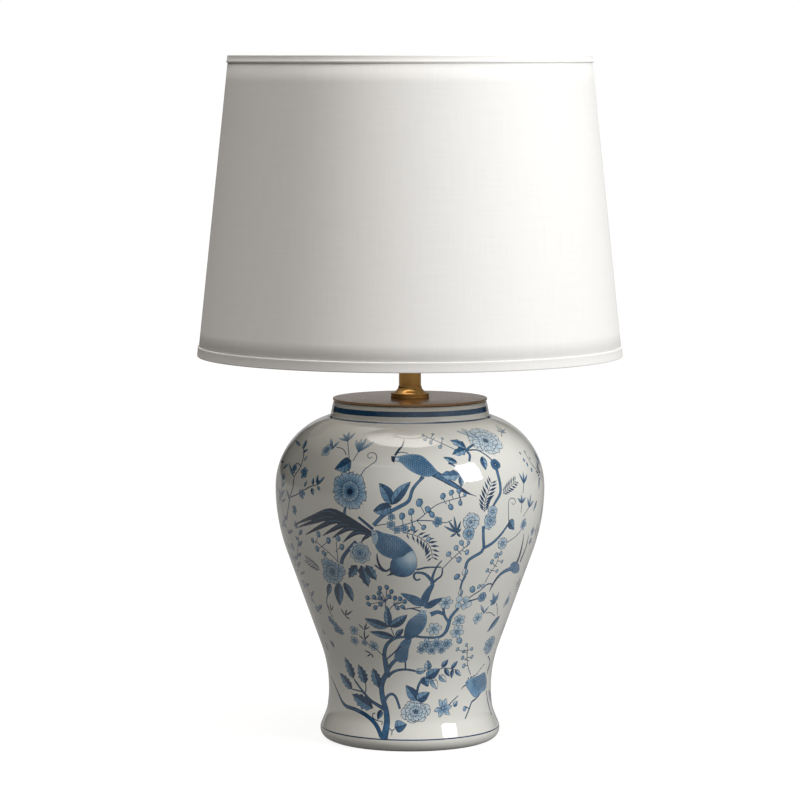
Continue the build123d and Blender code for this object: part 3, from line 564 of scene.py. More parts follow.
plumage([(375.3, 530.3), (384.2, 533), (397.6, 536.6), (406.5, 542.8), (413.7, 550.9), (410, 555), (402.1,
    558.2),
         (393.1, 559), (382.4, 555), (376, 548), (373.6, 538)], 0.46, (on_jar((392, 540)), 22, 0.7), rows=1,
        heading=2.6, pitch=2.1, mark=1.9, ink=DEEP)
plumage([(413.7, 550.9), (417, 559.8), (416.4, 568.7), (410.1, 575.6), (401.2, 577.2), (391.4, 573.8),
    (389.8, 568),
         (392.4, 559), (402.1, 556.6), (409.2, 552)], 0.04, (on_jar((411, 558)), 19, 0.8), line=0.34)
brush([on_jar(p) for p in ((377.1, 553), (377.6, 560), (380.6, 567), (386, 571), (391, 568))], (0.6, 2.0,
    2.6, 2.4, 1.0), DEEP, 3)
wash([on_jar(p) for p in ((386.4, 576), (392.4, 571.6), (393.4, 575))], DEEP)
plumage([(371.6, 531), (376.4, 531.5), (378.4, 538), (376, 545), (372.4, 541)], 0.24, rows=1, heading=1.6,
    pitch=2.1, mark=1.5)
wash(ring_of(on_jar((374.2, 534.4)), 0.7, 7), DEEP)

# upper branch with the three-part leaf
branch([(373.5, 525.4), (384, 515), (398, 507.6), (408.6, 501), (412.4, 490), (418, 482.4), (424, 477)],
    3.2, 3.0, 2.6, 2.0)
stem([(374.5, 526), (384, 524.4), (391, 523.6)], 0.5, 0.4)
sheet_leaf((391.6, 505), (379.2, 482.8), 11.0, tone=0.78, bow=-1.6)
sheet_leaf((391.6, 506), (373, 511), 11.5, tone=0.8, bow=1.2)
sheet_leaf((391.6, 505), (411, 481.6), 9.6, tone=0.78, bow=1.2, veins=4)

# crested bird
brush([on_jar(p) for p in ((395, 455.6), (399, 449.6), (402.6, 445.4), (404.4, 438.6))], (2.0, 2.2, 1.6,
    0.3), LINE, 3)
stem([(398, 453), (402, 452.2), (408.4, 453.4)], 0.7, 0.4)
brush([on_jar(p) for p in ((433, 472.6), (452, 483.6), (464, 491), (472, 495))], (7.2, 4.6, 3.0, 0.4),
    LINE, 4)
brush([on_jar(p) for p in ((436, 474), (452, 483.8), (462, 490))], (4.8, 2.6, 1.0), 0.66, 3)
brush([on_jar(p) for p in ((434, 476.4), (446, 483.4), (458, 489.4))], (0.3, 0.5, 0.3), LINE, 3)
stem([(466, 492.4), (476.4, 496.3)], 0.8, 0.2)
stem([(421.6, 476), (419.6, 479.6)], 0.9, 0.8)
plumage([(393.6, 456.6), (399.6, 456), (409, 454.2), (420.6, 455.2), (428.3, 461), (436, 469.4), (437.6,
    472.4), (430.2, 476.6),
         (420.6, 475.6), (409, 470), (400.4, 462.4), (395.4, 461.4)], 0.66, (on_jar((426,
             466)), 30, 0.36), rows=1,
        heading=2.5, pitch=2.1, mark=1.9, ink=DEEP)
wash(ring_of(on_jar((397, 459.2)), 1.7, 8), 0.1)
wash([on_jar(p) for p in ((391, 456), (395.4, 456.4), (394.4, 463), (391.6, 461))], DEEP)
wash(ring_of(on_jar((395.3, 457.4)), 0.5, 6), DEEP)

# right shoulder: peony, its leaves, bud and the long branch
berry_spray([(454, 449), (444, 444.4), (435, 440.3), (428, 437)],
            [(423, 435.3, 1.5), (433, 434.3, 1.4), (425, 439.8, 1.7), (430.8, 443.2, 1.8), (440, 447.4,
                1.9), (442.4, 438.8, 1.5)], tone=0.36)
branch([(476, 442.6), (467, 449.6), (469.8, 455), (469.2, 461.4)], 1.8, 2.2, 1.6)
branch([(467.6, 450.4), (477, 450), (486, 455), (492.4, 460.6)], 1.2, 1.0)
layered_flower((485.5, 440.5), 19.0, [(11, 1.0, 0.2), (9, 0.74, 0.14), (7, 0.46, 0.08)], tone=0.1,
    deep=0.34, turn=0.2, flat=0.8, frill=4, lines=3)
for tip in ((456, 430.6), (461, 428.4), (466, 433.4)):
    foot, end = on_jar((478, 438)), on_jar(tip)
    across, up = span(foot, end)
    petal(foot, math.atan2(up, across), 0.2, math.hypot(across, up), 4.4, 0.1, 0.3, frill=3, lines=2)
sheet_leaf((466.4, 448.4), (449.6, 440), 9.0, tone=0.66, saw=2, bow=-1.0)
sheet_leaf((466.4, 449), (452, 454.4), 8.4, tone=0.66, saw=2)
stem([(448.4, 463), (455, 466.4), (461, 476)], 1.4, 1.0)
sheet_leaf((457.4, 463), (443.2, 457), 5.6, tone=0.62)
sheet_leaf((461, 474), (439.6, 474.6), 9.0, tone=0.66, saw=2, bow=1.0)
sheet_leaf((460.6, 475.4), (461.4, 487.4), 5.0, tone=0.66)
sheet_leaf((460.6, 475.4), (467.6, 483), 4.2, tone=0.66)
sheet_leaf((481.9, 456.2), (485.8, 470.2), 7.0, tone=0.7)
branch([(495.6, 466), (497.6, 473), (500.4, 486), (500, 494), (495.3, 502.4), (492.4, 508)], 3.4, 2.6, 2.4,
    2.0)
layered_flower((495.4, 464.6), 5.4, [(5, 1.0, 0.1)], tone=0.66, deep=0.86, frill=0, lines=1)
fern([(484.4, 512), (485.6, 500), (491.6, 482)], 7.2, 9)
fern([(502.9, 493.7), (508.6, 488), (515.6, 481)], 5.6, 7)

# berry spray, small flowers and dark bamboo leaves in the middle
berry_spray([(400, 526), (416.8, 520.5), (432.1, 508), (441, 503), (457, 498.3), (466, 496)],
            [(402, 516.7, 3.2), (411, 512.3, 3.2), (419.3, 503.2, 3.7), (428.3, 510, 3.2), (432.2, 515,
                3.0), (442.8, 496.6, 2.9),
             (451.2, 493, 2.7), (459, 491.4, 2.6), (465, 494.8, 2.0), (460.4, 503.4, 2.4), (451, 507.4,
                 2.9), (413, 529, 2.7),
             (423.6, 527.7, 2.5)], tone=0.62)
stem([(416.8, 520.5), (428, 520.6), (436, 521.4), (446, 522.6), (452, 520)], 0.6, 0.4)
blossom((437.8, 521.6), 4.9, 5, tone=0.5, deep=0.76)
blades((456.6, 533), [(454, 515.6), (461, 520.6), (448.4, 520.6), (443.8, 526), (450, 537.2), (461.6,
    528.6), (460.8, 537)], 2.3)
layered_flower((470.8, 521.8), 8.4, [(6, 1.0, 0.16), (5, 0.5, 0.1)], tone=0.1, deep=0.42, turn=0.5)
layered_flower((469, 533.4), 6.4, [(5, 1.0, 0.16)], tone=0.22, deep=0.6)
layered_flower((490.4, 520.4), 7.8, [(6, 1.0, 0.16), (4, 0.5, 0.1)], tone=0.16, deep=0.56, turn=0.1)
layered_flower((492.6, 511.6), 5.2, [(5, 1.0, 0.16)], tone=0.14, deep=0.46)
for place, size in (((391.6, 516.8), 3.6), ((391, 524.6), 4.2), ((397, 529.6), 3.8), ((404.6, 528.6), 4.2)):
    blossom(place, size, 6, tone=0.38, deep=0.62)
fern([(404.4, 532.6), (416.8, 536), (425.6, 541.6), (431, 549), (432.4, 558.4)], 6.6, 10, lean=0.95)
berry((428.6, 539.6), 2.5, 0.4)

# right: forked branch, heart leaf, tendril, sprigs and the hanging bird
branch([(483.4, 526), (483.4, 536), (483.9, 547.6)], 2.6, 2.6)
branch([(509, 523), (500.6, 535), (492, 543.4), (483.8, 548.3), (480.9, 552.4), (469, 559.8), (465.8, 567),
    (465, 576), (462, 582.4),
        (460.4, 590), (461, 598)], 1.8, 2.6, 2.9, 2.6, 1.8, 1.4)
sheet_leaf((509, 520.4), (514.2, 529.8), 9.2, tone=0.78, full=0.6)
stem([(508.7, 521.4), (508.5, 508), (508.9, 501), (511.2, 498.2), (514.4, 498.8), (515.6, 502), (513.4,
    504.6), (511.7, 502.4)], 0.5, 0.4, 0.3)
stem([(495.4, 424), (500.2, 427), (501.6, 436.4)], 0.5, 0.4)
for tip in ((496, 430), (505.6, 428.6), (506.6, 432.6), (495.4, 425)):
    sheet_leaf((500.8, 432.4), tip, 1.7, tone=0.5, veins=0)
stem([(536, 469), (530.7, 463), (524.2, 451.6)], 0.5, 0.4)
for place, size in (((520.3, 453.4), 1.5), ((525, 451.8), 1.3), ((524, 460.2), 1.8), ((529.8, 458.3), 1.4),
    ((527.4, 464.6), 1.9), ((531.6, 470), 2.0)):
    berry(place, size, 0.5)
for base, foot, tips in (((523.8, 483.4), (523, 493), [(519, 473), (523, 471.4), (527.2, 474)]),
                         ((522, 503), (521, 512.4), [(517.6, 498), (521.4, 494.8), (525.6, 497)]),
                         ((529, 507.4), (523, 516.6), [(527.6, 497.6), (531, 494), (533.8, 500.4)])):
    stem([foot, base], 0.5, 0.45)
    trumpet(base, tips, 3.0, tone=0.4, deep=0.72)
blossom((523.6, 524.4), 5.2, 5, tone=0.3, deep=0.6)
stem([(524, 519), (521, 530), (515, 537), (506, 543), (498, 548)], 0.6, 0.4)
layered_flower((502.6, 543.6), 6.0, [(5, 1.0, 0.14)], tone=0.12, deep=0.42)
berry_spray([(484.9, 583), (490.3, 572.8), (496.4, 563.7), (500, 552)],
            [(487.2, 570.6, 2.1), (491.8, 562.2, 2.5), (496.4, 555.8, 3.0), (496.9, 571.2, 1.9), (502,
                561.8, 1.8), (501, 553.6, 2.2)], tone=0.44)
brush([on_jar(p) for p in ((524, 533.6), (521.4, 549), (518, 560), (514, 567.6))], (0.6, 2.6, 4.0, 5.0),
    LINE, 3)
brush([on_jar(p) for p in ((528.8, 534), (526.4, 546), (520, 562))], (0.5, 2.2, 3.0), LINE, 3)
brush([on_jar(p) for p in ((514, 567.6), (505, 571), (497, 578), (491, 588), (489.8, 592))], (4.6, 4.0,
    3.0, 1.6, 0.3), LINE, 3)
brush([on_jar(p) for p in ((513, 567.4), (505, 571), (498, 577))], (3.0, 2.4, 1.0), 0.62, 3)
plumage([(510.4, 565), (515, 561.4), (519.4, 565), (519, 571.4), (514.6, 573.6), (511, 571)], 0.6, rows=1,
    heading=1.0, pitch=2.1, mark=1.5)
stem([(492, 584), (487.2, 584.3), (480, 590.6), (474, 594.4), (468.8, 598)], 1.2, 0.9, 0.8)
berry((472.8, 589.8), 3.6, 0.56)
berry((478.9, 587), 2.4, 0.4)
berry((483, 586.2), 2.2, 0.36)

# rose with toothed leaves, the broad flower under the tail and its leaves
branch([(341.6, 564), (342.8, 558), (348.4, 550), (356.2, 541.4)], 3.4, 3.2, 2.8, tone=0.76)
for base, tip, width in (((357, 565), (348.8, 578), 8.4), ((361, 565), (368.6, 587.4), 10.5), ((366, 565),
    (376.6, 580.6), 9.0)):
    sheet_leaf(base, tip, width, tone=0.82, saw=3)
stem([(375, 565), (383, 571), (388, 570)], 1.6, 1.0)
rose = on_jar((360.1, 553))
for size, count, tone in ((9.8, 9, 0.2), (7.4, 8, 0.26), (5.2, 7, 0.34), (3.0, 5, 0.5)):
    shape = lambda a, n=count: 1 + 0.09 * math.cos(n * a)
    wash(ring_of(rose, size, 3 * count, size, shape), LINE)
    wash(ring_of(rose, size - 0.42, 3 * count, size, shape), tone)
for i in range(7):
    a = 0.5 + i * 0.9
    arc = [beside(rose, math.cos(a + k) * (8.6 - 0.5 * i),
        math.sin(a + k) * (8.6 - 0.5 * i) * 0.94) for k in (-0.5, 0, 0.5)]
    brush(arc, (0.25, 0.5, 0.25), LINE, 2)
wash(ring_of(rose, 1.0, 6), LINE)
berry_spray([(339.6, 563.4), (329, 552.6), (316.4, 541.9)],
            [(312.8, 541, 2.6), (318.6, 534.6, 3.0), (328.4, 541, 3.2), (317.3, 549.2, 3.0), (324.4, 553.8,
                3.0)], tone=0.62)
berry_spray([(338, 562), (337.2, 552), (336.4, 543)], [(338.2, 538.6, 3.0), (341.9, 547.4, 3.0)], tone=0.6)
layered_flower((332.4, 571.6), 13.6, [(7, 1.0, 0.2), (6, 0.56, 0.1)], tone=0.24, deep=0.58, turn=0.3,
    frill=4, lines=5)
fern([(320, 570), (314, 565.4), (306.6, 559.6)], 5.6, 7, lean=0.8)
sheet_leaf((330.6, 583.4), (327.6, 596), 6.0, tone=0.8)
sheet_leaf((339.6, 582.6), (339.8, 606), 10.6, tone=0.82, bow=-0.8)
sheet_leaf((344, 582), (353, 602), 8.6, tone=0.82, bow=0.9)
stem([(327.8, 595), (326.8, 603), (330, 612), (333.4, 617)], 1.0, 0.8)
blades((331.6, 611), [(325.6, 602.4), (329.6, 602), (333.6, 605.6)], 1.2)
blades((345, 616), [(340.6, 608), (347, 609), (353, 610.6), (350.4, 619.4)], 1.5)
for i in range(5):
    blossom((330.6 + 2.6 * i, 619.4 + 3.1 * i), 3.7, 5, tone=0.4, deep=0.66)
blossom((336.6, 629.6), 3.8, 5, tone=0.4, deep=0.7)
for place, size in (((353.9, 630.3), 4.8), ((354.8, 640.6), 4.8), ((373.8, 646), 5.0), ((364.6, 643), 3.0)):
    blossom(place, size, 5, tone=0.22, deep=0.5)
stem([(383.4, 656), (377, 650), (366, 641), (364.6, 626)], 0.6, 0.4)
blades((364.4, 640), [(358.6, 634.6), (369.6, 634.4), (364.6, 628)], 1.3)
blades((364.4, 630), [(358, 623.4), (367.4, 621.6), (370, 626.4)], 1.3)
blades((371.6, 653.6), [(364, 650), (367, 656.6), (373.4, 658)], 1.5)

# berry cluster, leaf trio and the small pair of leaves
fruit = [(367.7, 598.2), (374.4, 597.6), (369, 604.4), (375.3, 608), (380.6, 598.4), (380.8, 604.6),
    (379.8, 588.6), (386.9, 587.6),
         (391.4, 592), (378.8, 593.4), (389.6, 597), (395, 598.4), (400.3, 599.2), (404.8, 602), (403,
             607.2), (397.6, 608.2)]
for place in fruit:
    knot = (386, 601) if place[0] < 392 else (393.6, 605)
    berry(place, 2.5, 0.74, ((place[0] + knot[0] * 2) / 3, (place[1] + knot[1] * 2) / 3))
    stem([((place[0] + knot[0] * 2) / 3, (place[1] + knot[1] * 2) / 3), knot], 0.4, 0.4)
stem([(386.9, 616), (385.4, 606), (386, 600.6), (386.6, 590)], 0.7, 0.4)
stem([(388, 612), (393.6, 605), (402, 602)], 0.5, 0.4)
sheet_leaf((388.7, 627), (364.4, 618.4), 9.2, tone=0.78, bow=1.0, veins=4)
sheet_leaf((389.4, 627), (407.6, 614.6), 8.6, tone=0.78, bow=-0.8, veins=4)
sheet_leaf((388.8, 627.6), (386.9, 605.4), 7.2, tone=0.72, veins=4)
stem([(391, 627.6), (393, 633), (395, 637.4)], 0.6, 0.6)
sheet_leaf((394.6, 637.4), (369.6, 631.6), 7.2, tone=0.8)
sheet_leaf((395.6, 636.6), (403.6, 628.6), 5.4, tone=0.82)

# flying bird and the scroll branch over it
branch([(442.6, 567.6), (441.6, 575.4), (436, 580), (432.4, 583.4)], 0.9, 1.6, 2.4, tone=0.76)
branch([(442, 560.4), (436.4, 567.6), (432.6, 577), (432, 584)], 0.6, 1.8, 2.8, tone=0.76)
branch([(416.5, 569.8), (426, 567.6), (434, 567.2), (441.6, 567.2)], 1.7, 1.3, 0.9, tone=0.76)
branch([(431.4, 580.4), (426, 574.6), (419.4, 572.6), (414.8, 573.6), (414.2, 577.6), (417, 580.2), (420.4,
    578.8)], 2.8, 2.0, 1.6, 1.3, tone=0.72)
berry_spray([(443.2, 568), (452.2, 558.8), (461.8, 550.2), (470, 543)],
            [(448.4, 554.4, 2.7), (456.1, 548.2, 2.7), (461.8, 543.2, 2.7), (468.6, 543.2, 2.0), (467,
                552.6, 2.6), (459, 560, 3.0)], tone=0.46)
plumage([(432.6, 583), (434.4, 585.6), (430.4, 595), (427.6, 603), (420, 605.4), (421, 598), (425.6, 590)],
    0.66, rows=1,
        heading=-1.1, pitch=2.1, mark=1.9)
plumage([(400.4, 593.2), (411.4, 594.6), (420.6, 598.4), (427, 605.6), (416.4, 606), (407.8, 600.6)], 0.6,
    rows=1, heading=0.4, pitch=2.1, mark=1.9)
plumage([(443, 597.6), (434.4, 599.2), (428.6, 602), (424, 607.4), (430, 608.6), (436, 605), (441, 600.6)],
    0.74, rows=1, heading=2.6, pitch=2.1, mark=1.9)
stem([(404, 609.4), (412, 608.2), (421, 607.4)], 0.9, 0.7, 0.5)

# right-hand flowers and buds
sheet_leaf((464.6, 577), (465.6, 567.6), 6.2, tone=0.36, full=1.0, veins=1)
berry((456.7, 577.2), 3.3, 0.66, (461.8, 580.6))
sheet_leaf((460.4, 596.6), (461, 588.6), 5.0, tone=0.34, full=1.0, veins=1)
for k, (dx, dy) in enumerate(((-3.4, -4), (3.2, -3.6), (-4.6, 2.6), (1.6, 3.4), (5.8, 1.4))):
    wash(ring_of(on_jar((463 + dx, 603 + dy)), 3.4, 9, k, lambda a: 1 + 0.1 * math.cos(3 * a)), LINE)
    wash(ring_of(on_jar((463 + dx, 603 + dy)), 3.0, 9, k, lambda a: 1 + 0.1 * math.cos(3 * a)), 0.5,
        (on_jar((463, 603)), 6.5, 0.14))
stem([(468.9, 601.2), (475.7, 599.2), (479, 598.6)], 1.4, 0.8)
layered_flower((482.2, 596.8), 4.8, [(6, 1.0, 0.15)], tone=0.3, deep=0.66, frill=0)
branch([(458.6, 608), (451, 617), (448.2, 626), (445.4, 632.4), (439, 637), (425, 637.4), (411, 635.6)],
    2.6, 3.0, 3.2, 2.6, 2.2, 1.8)
branch([(448.4, 622), (444.4, 615), (443.4, 607)], 2.2, 2.0)
branch([(444, 614.6), (438, 612), (430.6, 614.6)], 2.0, 3.4, 4.6)
blossom((445.9, 602.6), 6.6, 6, tone=0.16, deep=0.4)
blossom((433.7, 628.9), 6.8, 6, tone=0.14, deep=0.34)
blossom((458.9, 620.2), 6.2, 6, tone=0.2, deep=0.42)
blossom((457, 632), 6.8, 6, tone=0.14, deep=0.4)
berry((459.6, 641), 3.4, 0.44)
for place, size in (((426, 645.4), 6.8), ((436.6, 644.6), 6.4), ((446.4, 644), 5.8), ((421.6, 649.4), 4.4),
    ((431.6, 650.4), 4.8),
                    ((441.4, 650), 4.4)):
    blossom(place, size, 6, tone=0.26, deep=0.5, lines=1)
blossom((477.6, 618), 5.6, 5, tone=0.18, deep=0.4)
trumpet((484, 613), [(480.6, 604.6), (489, 606)], 3.0)
stem([(486, 613.4), (490, 612.4), (495, 616)], 0.5, 0.4)
trumpet((494.4, 603.4), [(490, 600), (493, 592.6), (499.4, 591.6), (490, 604.6)], 3.2, tone=0.44)
stem([(496.6, 603), (497.4, 609), (497.2, 615)], 0.5, 0.5)
sheet_leaf((500, 615.6), (487, 632.4), 7.4, tone=0.68, veins=4)
fern([(503.4, 608), (506, 602), (510.4, 593)], 2.6, 8, tone=0.7)
layered_flower((490, 645), 9.6, [(9, 1.0, 0.2), (7, 0.64, 0.12)], tone=0.24, deep=0.5, turn=0.6, frill=0,
    lines=2)
stem([(488, 656), (490, 662), (487.4, 671)], 1.2, 1.4)
stem([(491.6, 660), (489.6, 666), (487, 674)], 1.2, 1.2)
berry_spray([(470.8, 675), (467.8, 665.5), (467.2, 655.3), (467.8, 647)],
            [(466.5, 645.2, 1.8), (471.9, 649, 2.0), (463.6, 651.6, 1.9), (462.6, 658, 2.1), (463.7, 666.2,
                2.3), (471.9, 657, 2.0),
             (457.4, 649.6, 2.0)], tone=0.42)

# perched bird
stem([(405.4, 660), (405.6, 670.4)], 1.1, 1.1)
plumage([(403.4, 640), (411.6, 639), (409, 649), (407.2, 660.4), (401.4, 662.6), (394.4, 659), (397, 649)],
    0.56, rows=1, heading=-1.9,
        pitch=2.1, mark=1.9, ink=DEEP)
stem([(386.8, 659.2), (394.6, 652.4), (401, 646)], 1.0, 1.3)
plumage([(416.2, 615), (421, 611.6), (426.2, 614), (426.6, 623), (421.9, 631.8), (414.8, 637.4), (405.6,
    640), (404.2, 631.6),
         (408.4, 621)], 0.36, (on_jar((422,
             614)), 26, 0.74), rows=1, heading=-2.1, pitch=2.1, mark=1.9, ink=DEEP)
wash([on_jar(p) for p in ((421, 609.6), (426.6, 610.6), (426, 614.4), (420.4, 613.6))], 0.28)
stem([(404.4, 609.6), (412, 608.6), (420.6, 611.4)], 0.5, 1.2)
wash(ring_of(on_jar((423.8, 612)), 0.55, 6), DEEP)

# foot: trunk, forks and arches
branch([(384, 739.2), (387, 723), (386.2, 711), (383, 699), (381.6, 688), (383.4, 679.6), (387, 673),
    (385.8, 664), (384.4, 655), (386, 646.6),
        (390.4, 641), (397, 637.6), (406,
            637)], 6.6, 5.0, 4.8, 4.6, 4.6, 4.8, 3.4, 3.0, 2.8, 2.0, tone=0.74)
branch([(387.2, 671.6), (391, 665), (396, 659.6)], 3.4, 2.8, tone=0.72)
branch([(381.6, 737), (376, 724.6), (366, 715), (355.4, 709.4), (345.4, 705.4), (340, 697), (335, 685),
    (330, 673), (327.6, 662)],
       3.6, 3.4, 3.4, 3.0, 1.8, 1.4, 0.8, tone=0.78)
branch([(384, 708.6), (376, 704), (369, 698.6), (360.6, 688.4), (354, 679)], 3.4, 2.6, 2.0, 1.2, tone=0.78)
stem([(365, 694), (366, 690), (365.8, 683.4)], 0.9, 0.7)
stem([(363, 692), (358, 690.6), (352.4, 689.2)], 1.1, 0.9)
stem([(383.4, 690), (380, 688.6), (378.4, 687)], 0.9, 0.7)
for base, tip, width in (((353.9, 679), (344.6, 656.6), 9.4), ((352.6, 689.4), (339.4, 672.4), 9.2),
    ((365.7, 684), (358.4, 664), 9.6),
                         ((378.6, 687.4), (373, 667.8), 9.2), ((373.4, 708.2), (352, 694), 12.0)):
    sheet_leaf(base, tip, width, tone=0.8, saw=4)
sheet_leaf((325, 635), (322, 628.4), 2.8, tone=0.7, veins=1)
sheet_leaf((334.6, 647.4), (330, 640), 4.6, tone=0.74, veins=1)
sheet_leaf((328.6, 652), (325, 640.4), 2.6, tone=0.74, veins=1)
branch([(384.4, 702.4), (387.4, 696.4), (391.8, 694), (395.6, 696.6), (398.6, 704), (400, 709)], 2.2, 2.2,
    2.0, 1.8, tone=0.72)
branch([(387.6, 677), (392.6, 672.4), (399, 670), (407, 669.6), (415.4, 671)], 2.8, 2.2, 1.9, 1.7,
    tone=0.74)
sheet_leaf((415.2, 671.6), (426.4, 670.4), 6.2, tone=0.44, veins=2)
sheet_leaf((423.6, 676.8), (428.2, 687), 8.8, tone=0.8, full=0.6)
sheet_leaf((426, 677.6), (440.6, 668.6), 9.6, tone=0.78, full=0.7)
sheet_leaf((428, 670.4), (428, 660), 7.0, tone=0.5, full=0.7)
for base, tip, width, tone in (((431.6, 678), (437.4, 689.6), 7.0, 0.3), ((439, 675), (446.6, 682), 6.4,
    0.32), ((441.6, 667.4), (448.4, 659.4), 5.4, 0.7),
                               ((444.6, 668.4), (449.6, 676.6), 4.4, 0.76), ((451, 669), (458, 660.6), 4.4,
                                   0.72), ((452.6, 668.8), (451.4, 678.6), 4.0, 0.78),
                               ((455, 669.6), (461, 676), 4.4, 0.5)):
    sheet_leaf(base, tip, width, tone=tone, veins=1)
stem([(436, 671), (443, 668), (450, 668.6), (455, 669.4)], 0.6, 0.4)
branch([(423, 678), (419, 684.6), (417.2, 692), (416.8, 699)], 1.9, 1.9, tone=0.72)
layered_flower((415.8, 711.6), 14.4, [(8, 1.0, 0.2), (7, 0.7, 0.14), (5, 0.42, 0.08)], tone=0.1, deep=0.44,
    turn=0.2, flat=0.76, frill=4, lines=3)
sheet_leaf((417.4, 700.6), (405.8, 684.8), 9.8, tone=0.76, full=0.7)
sheet_leaf((416.6, 700.6), (430, 692.2), 9.4, tone=0.72, full=0.7)
foot_star = on_jar((443.2, 708.2))
for angle in (1.95, 1.2, 3.35, 4.2, 5.45, 0.1):
    petal(foot_star, angle, 0.8, 9.0, 5.6, 0.2, 0.5, lines=2, point=0.5)
wash(ring_of(foot_star, 1.6, 8), LINE)
wash(ring_of(foot_star, 1.0, 7), 0.3)
stem([(449, 705), (453, 700.6), (458.4, 695.6)], 0.8, 0.5)
sheet_leaf((453.6, 706.6), (457.6, 700.6), 5.0, tone=0.5, veins=1)
sheet_leaf((381.6, 709.6), (377.6, 720), 5.4, tone=0.84, full=0.7)
stem([(375.4, 713.2), (372.8, 714), (373.2, 718), (378, 720.8), (382.4, 721.6), (381.6, 725)], 0.7, 0.6,
    0.4)
sheet_leaf((394.6, 727.4), (407.2, 724.4), 11.4, tone=0.76, full=0.6)
stem([(389.4, 728.4), (392.2, 730.6), (394.6, 728.6)], 0.6, 0.6)
stem([(392.2, 730.6), (391.8, 735.4)], 0.6, 0.4)

# small bird at the right of the foot, on its twig
stem([(486.4, 690), (488, 702), (491.8, 714.4)], 1.2, 2.2, 1.6)
stem([(482, 691), (476, 698.6), (471.8, 702), (469.3, 709), (465.2, 718.8)], 0.9, 1.2, 0.9)
stem([(469.3, 708.6), (465.6, 706.6)], 0.8, 0.6)
berry((464.6, 709), 2.5, 0.5)
plumage([(466, 682), (468.8, 679), (474.9, 676.8), (480, 674.6), (485, 672.4), (486.8, 681), (485.8, 689),
    (481, 693), (475.8, 697.4),
         (472.2, 695.4), (468.6, 690), (465.6, 685)], 0.58, (on_jar((478, 686)), 16, 0.42))
plumage([(471.4, 681.6), (478, 677), (485, 673.6), (486.6, 681), (485, 689.4), (478, 688)], 0.5, rows=1,
    heading=2.8, pitch=2.1, mark=1.9, ink=DEEP)
for place in ((468.4, 678.2), (471.2, 677), (474, 675.4), (477.2, 673.6), (480.8, 668.6), (484, 664.6)):
    wash(ring_of(on_jar(place), 0.8, 6), DEEP)
stem([(470, 678), (476, 674.6), (480.6, 668.8), (484, 664.6)], 0.5, 0.3)
brush([on_jar(p) for p in ((465.8, 685), (463, 687), (461.2, 690))], (1.4, 1.0, 0.3), LINE, 2)
wash(ring_of(on_jar((467.2, 682.8)), 0.8, 7), DEEP)

# sides: a climbing stalk with leaves and small flowers fills each gap, a quarter turn round
garden_front = on_jar


def on_jar(place):
    """The same sheet, laid on the jar a quarter turn further round."""
    round_, up = garden_front(place)
    return (round_ + math.pi / 2 * ROLL_R, up)


branch([(404, 738), (400, 715), (408, 690), (402, 668), (411, 640), (404, 610), (414, 580)], 4.2, 3.4, 3.0,
    2.6, 2.2, 2.0, 1.8)
branch([(414, 580), (406, 552), (415, 522), (408, 492), (414, 462), (409, 440)], 1.8, 1.8, 1.6, 1.2, 0.8)
for base, tip, width in (((401, 712), (388, 700), 8.0), ((406, 694), (419, 684), 8.4), ((403, 674), (390,
    662), 8.4), ((409, 646), (424, 638), 9.0),
                         ((405, 622), (391, 612), 8.6), ((411, 590), (428, 586), 9.4), ((411, 566), (396,
                             556), 8.8), ((412, 536), (428, 528), 9.2),
                         ((411, 506), (395, 498), 8.4), ((411, 476), (425, 466), 8.0), ((410, 452), (398,
                             444), 6.4)):
    sheet_leaf(base, tip, width, tone=0.76, saw=3, bow=0.8)
for place, size in (((419, 712), 6.2), ((391, 640), 7.4), ((428, 606), 8.2), ((388, 582), 7.0), ((431,
    556), 7.4), ((389, 526), 8.0),
                    ((433, 500), 7.6), ((391, 470), 7.0), ((424, 440), 6.0)):
    stem([place, ((place[0] + 410) / 2, place[1] + 8), (409, place[1] + 12)], 0.6, 0.8)
    layered_flower(place, size, [(6, 1.0, 0.18), (4, 0.5, 0.1)], tone=0.2, deep=0.5, lines=1)
for path in ([(418, 660), (428, 656), (436, 648)], [(400, 602), (384, 600), (374, 592)], [(420, 572), (438,
    574), (448, 566)],
             [(404, 546), (386, 548), (372, 540)], [(418, 514), (440, 518), (450, 508)], [(402, 486), (380,
                 488), (370, 480)]):
    fern(path, 5.4, 8)
on_jar = garden_front

# bands: a washed one round the neck, and single lines at the neck's foot and above the foot rim
QUARTER = math.pi / 2 * ROLL_R
round_steps = [QUARTER * (i / 24 - 1) for i in range(49)]


def height_up(z):
    """Distance up the side at a height."""
    return float(np.interp(z, side_z, up_side))


for low, high, tone in ((290.5, 291.7, 0.9), (296.0, 300.7, 0.95), (296.4, 300.3, 0.84), (10.8, 11.9, 0.9)):
    edges = [(u, height_up(low)) for u in round_steps], [(u, height_up(high)) for u in round_steps]
    wash(edges[0] + edges[1][::-1], tone)

# --- Jar: the fired piece ---
# One skin of small faces cut along the brush strokes, so each face is one wash of cobalt. The
# same garden comes round again at the back, where the foot has the hole for the cord.

GLAZE_SEGMENTS = 96
LEAST_BACK_STROKE = 12.0
CORD_Z, CORD_HOLE = 10.5, 5.55
rows = [0.0]
while rows[-1] < up_side[-1] - 0.05:
    k = bisect.bisect_left(up_side, rows[-1])
    last = min(len(up_side) - 1, k + 1)
    while last < len(up_side) - 1 and up_side[last] - rows[-1] < 5.0:
        if facing_r[k] * facing_r[last] + facing_z[k] * facing_z[last] < math.cos(math.radians(7)):
            break
        last += 1
    rows.append(float(up_side[last]))


def crossing(edge):
    """Whether a shape reaches over the line between the front and back halves."""
    return any(abs(u) > QUARTER for u, _ in edge)


def area_of(edge):
    """Real area of a shape in square millimetres."""
    ring = [(u * stretch(s), s) for u, s in edge]
    return abs(sum(a[0] * b[1] - b[0] * a[1] for a, b in zip(ring, ring[1:] + ring[:1]))) / 2


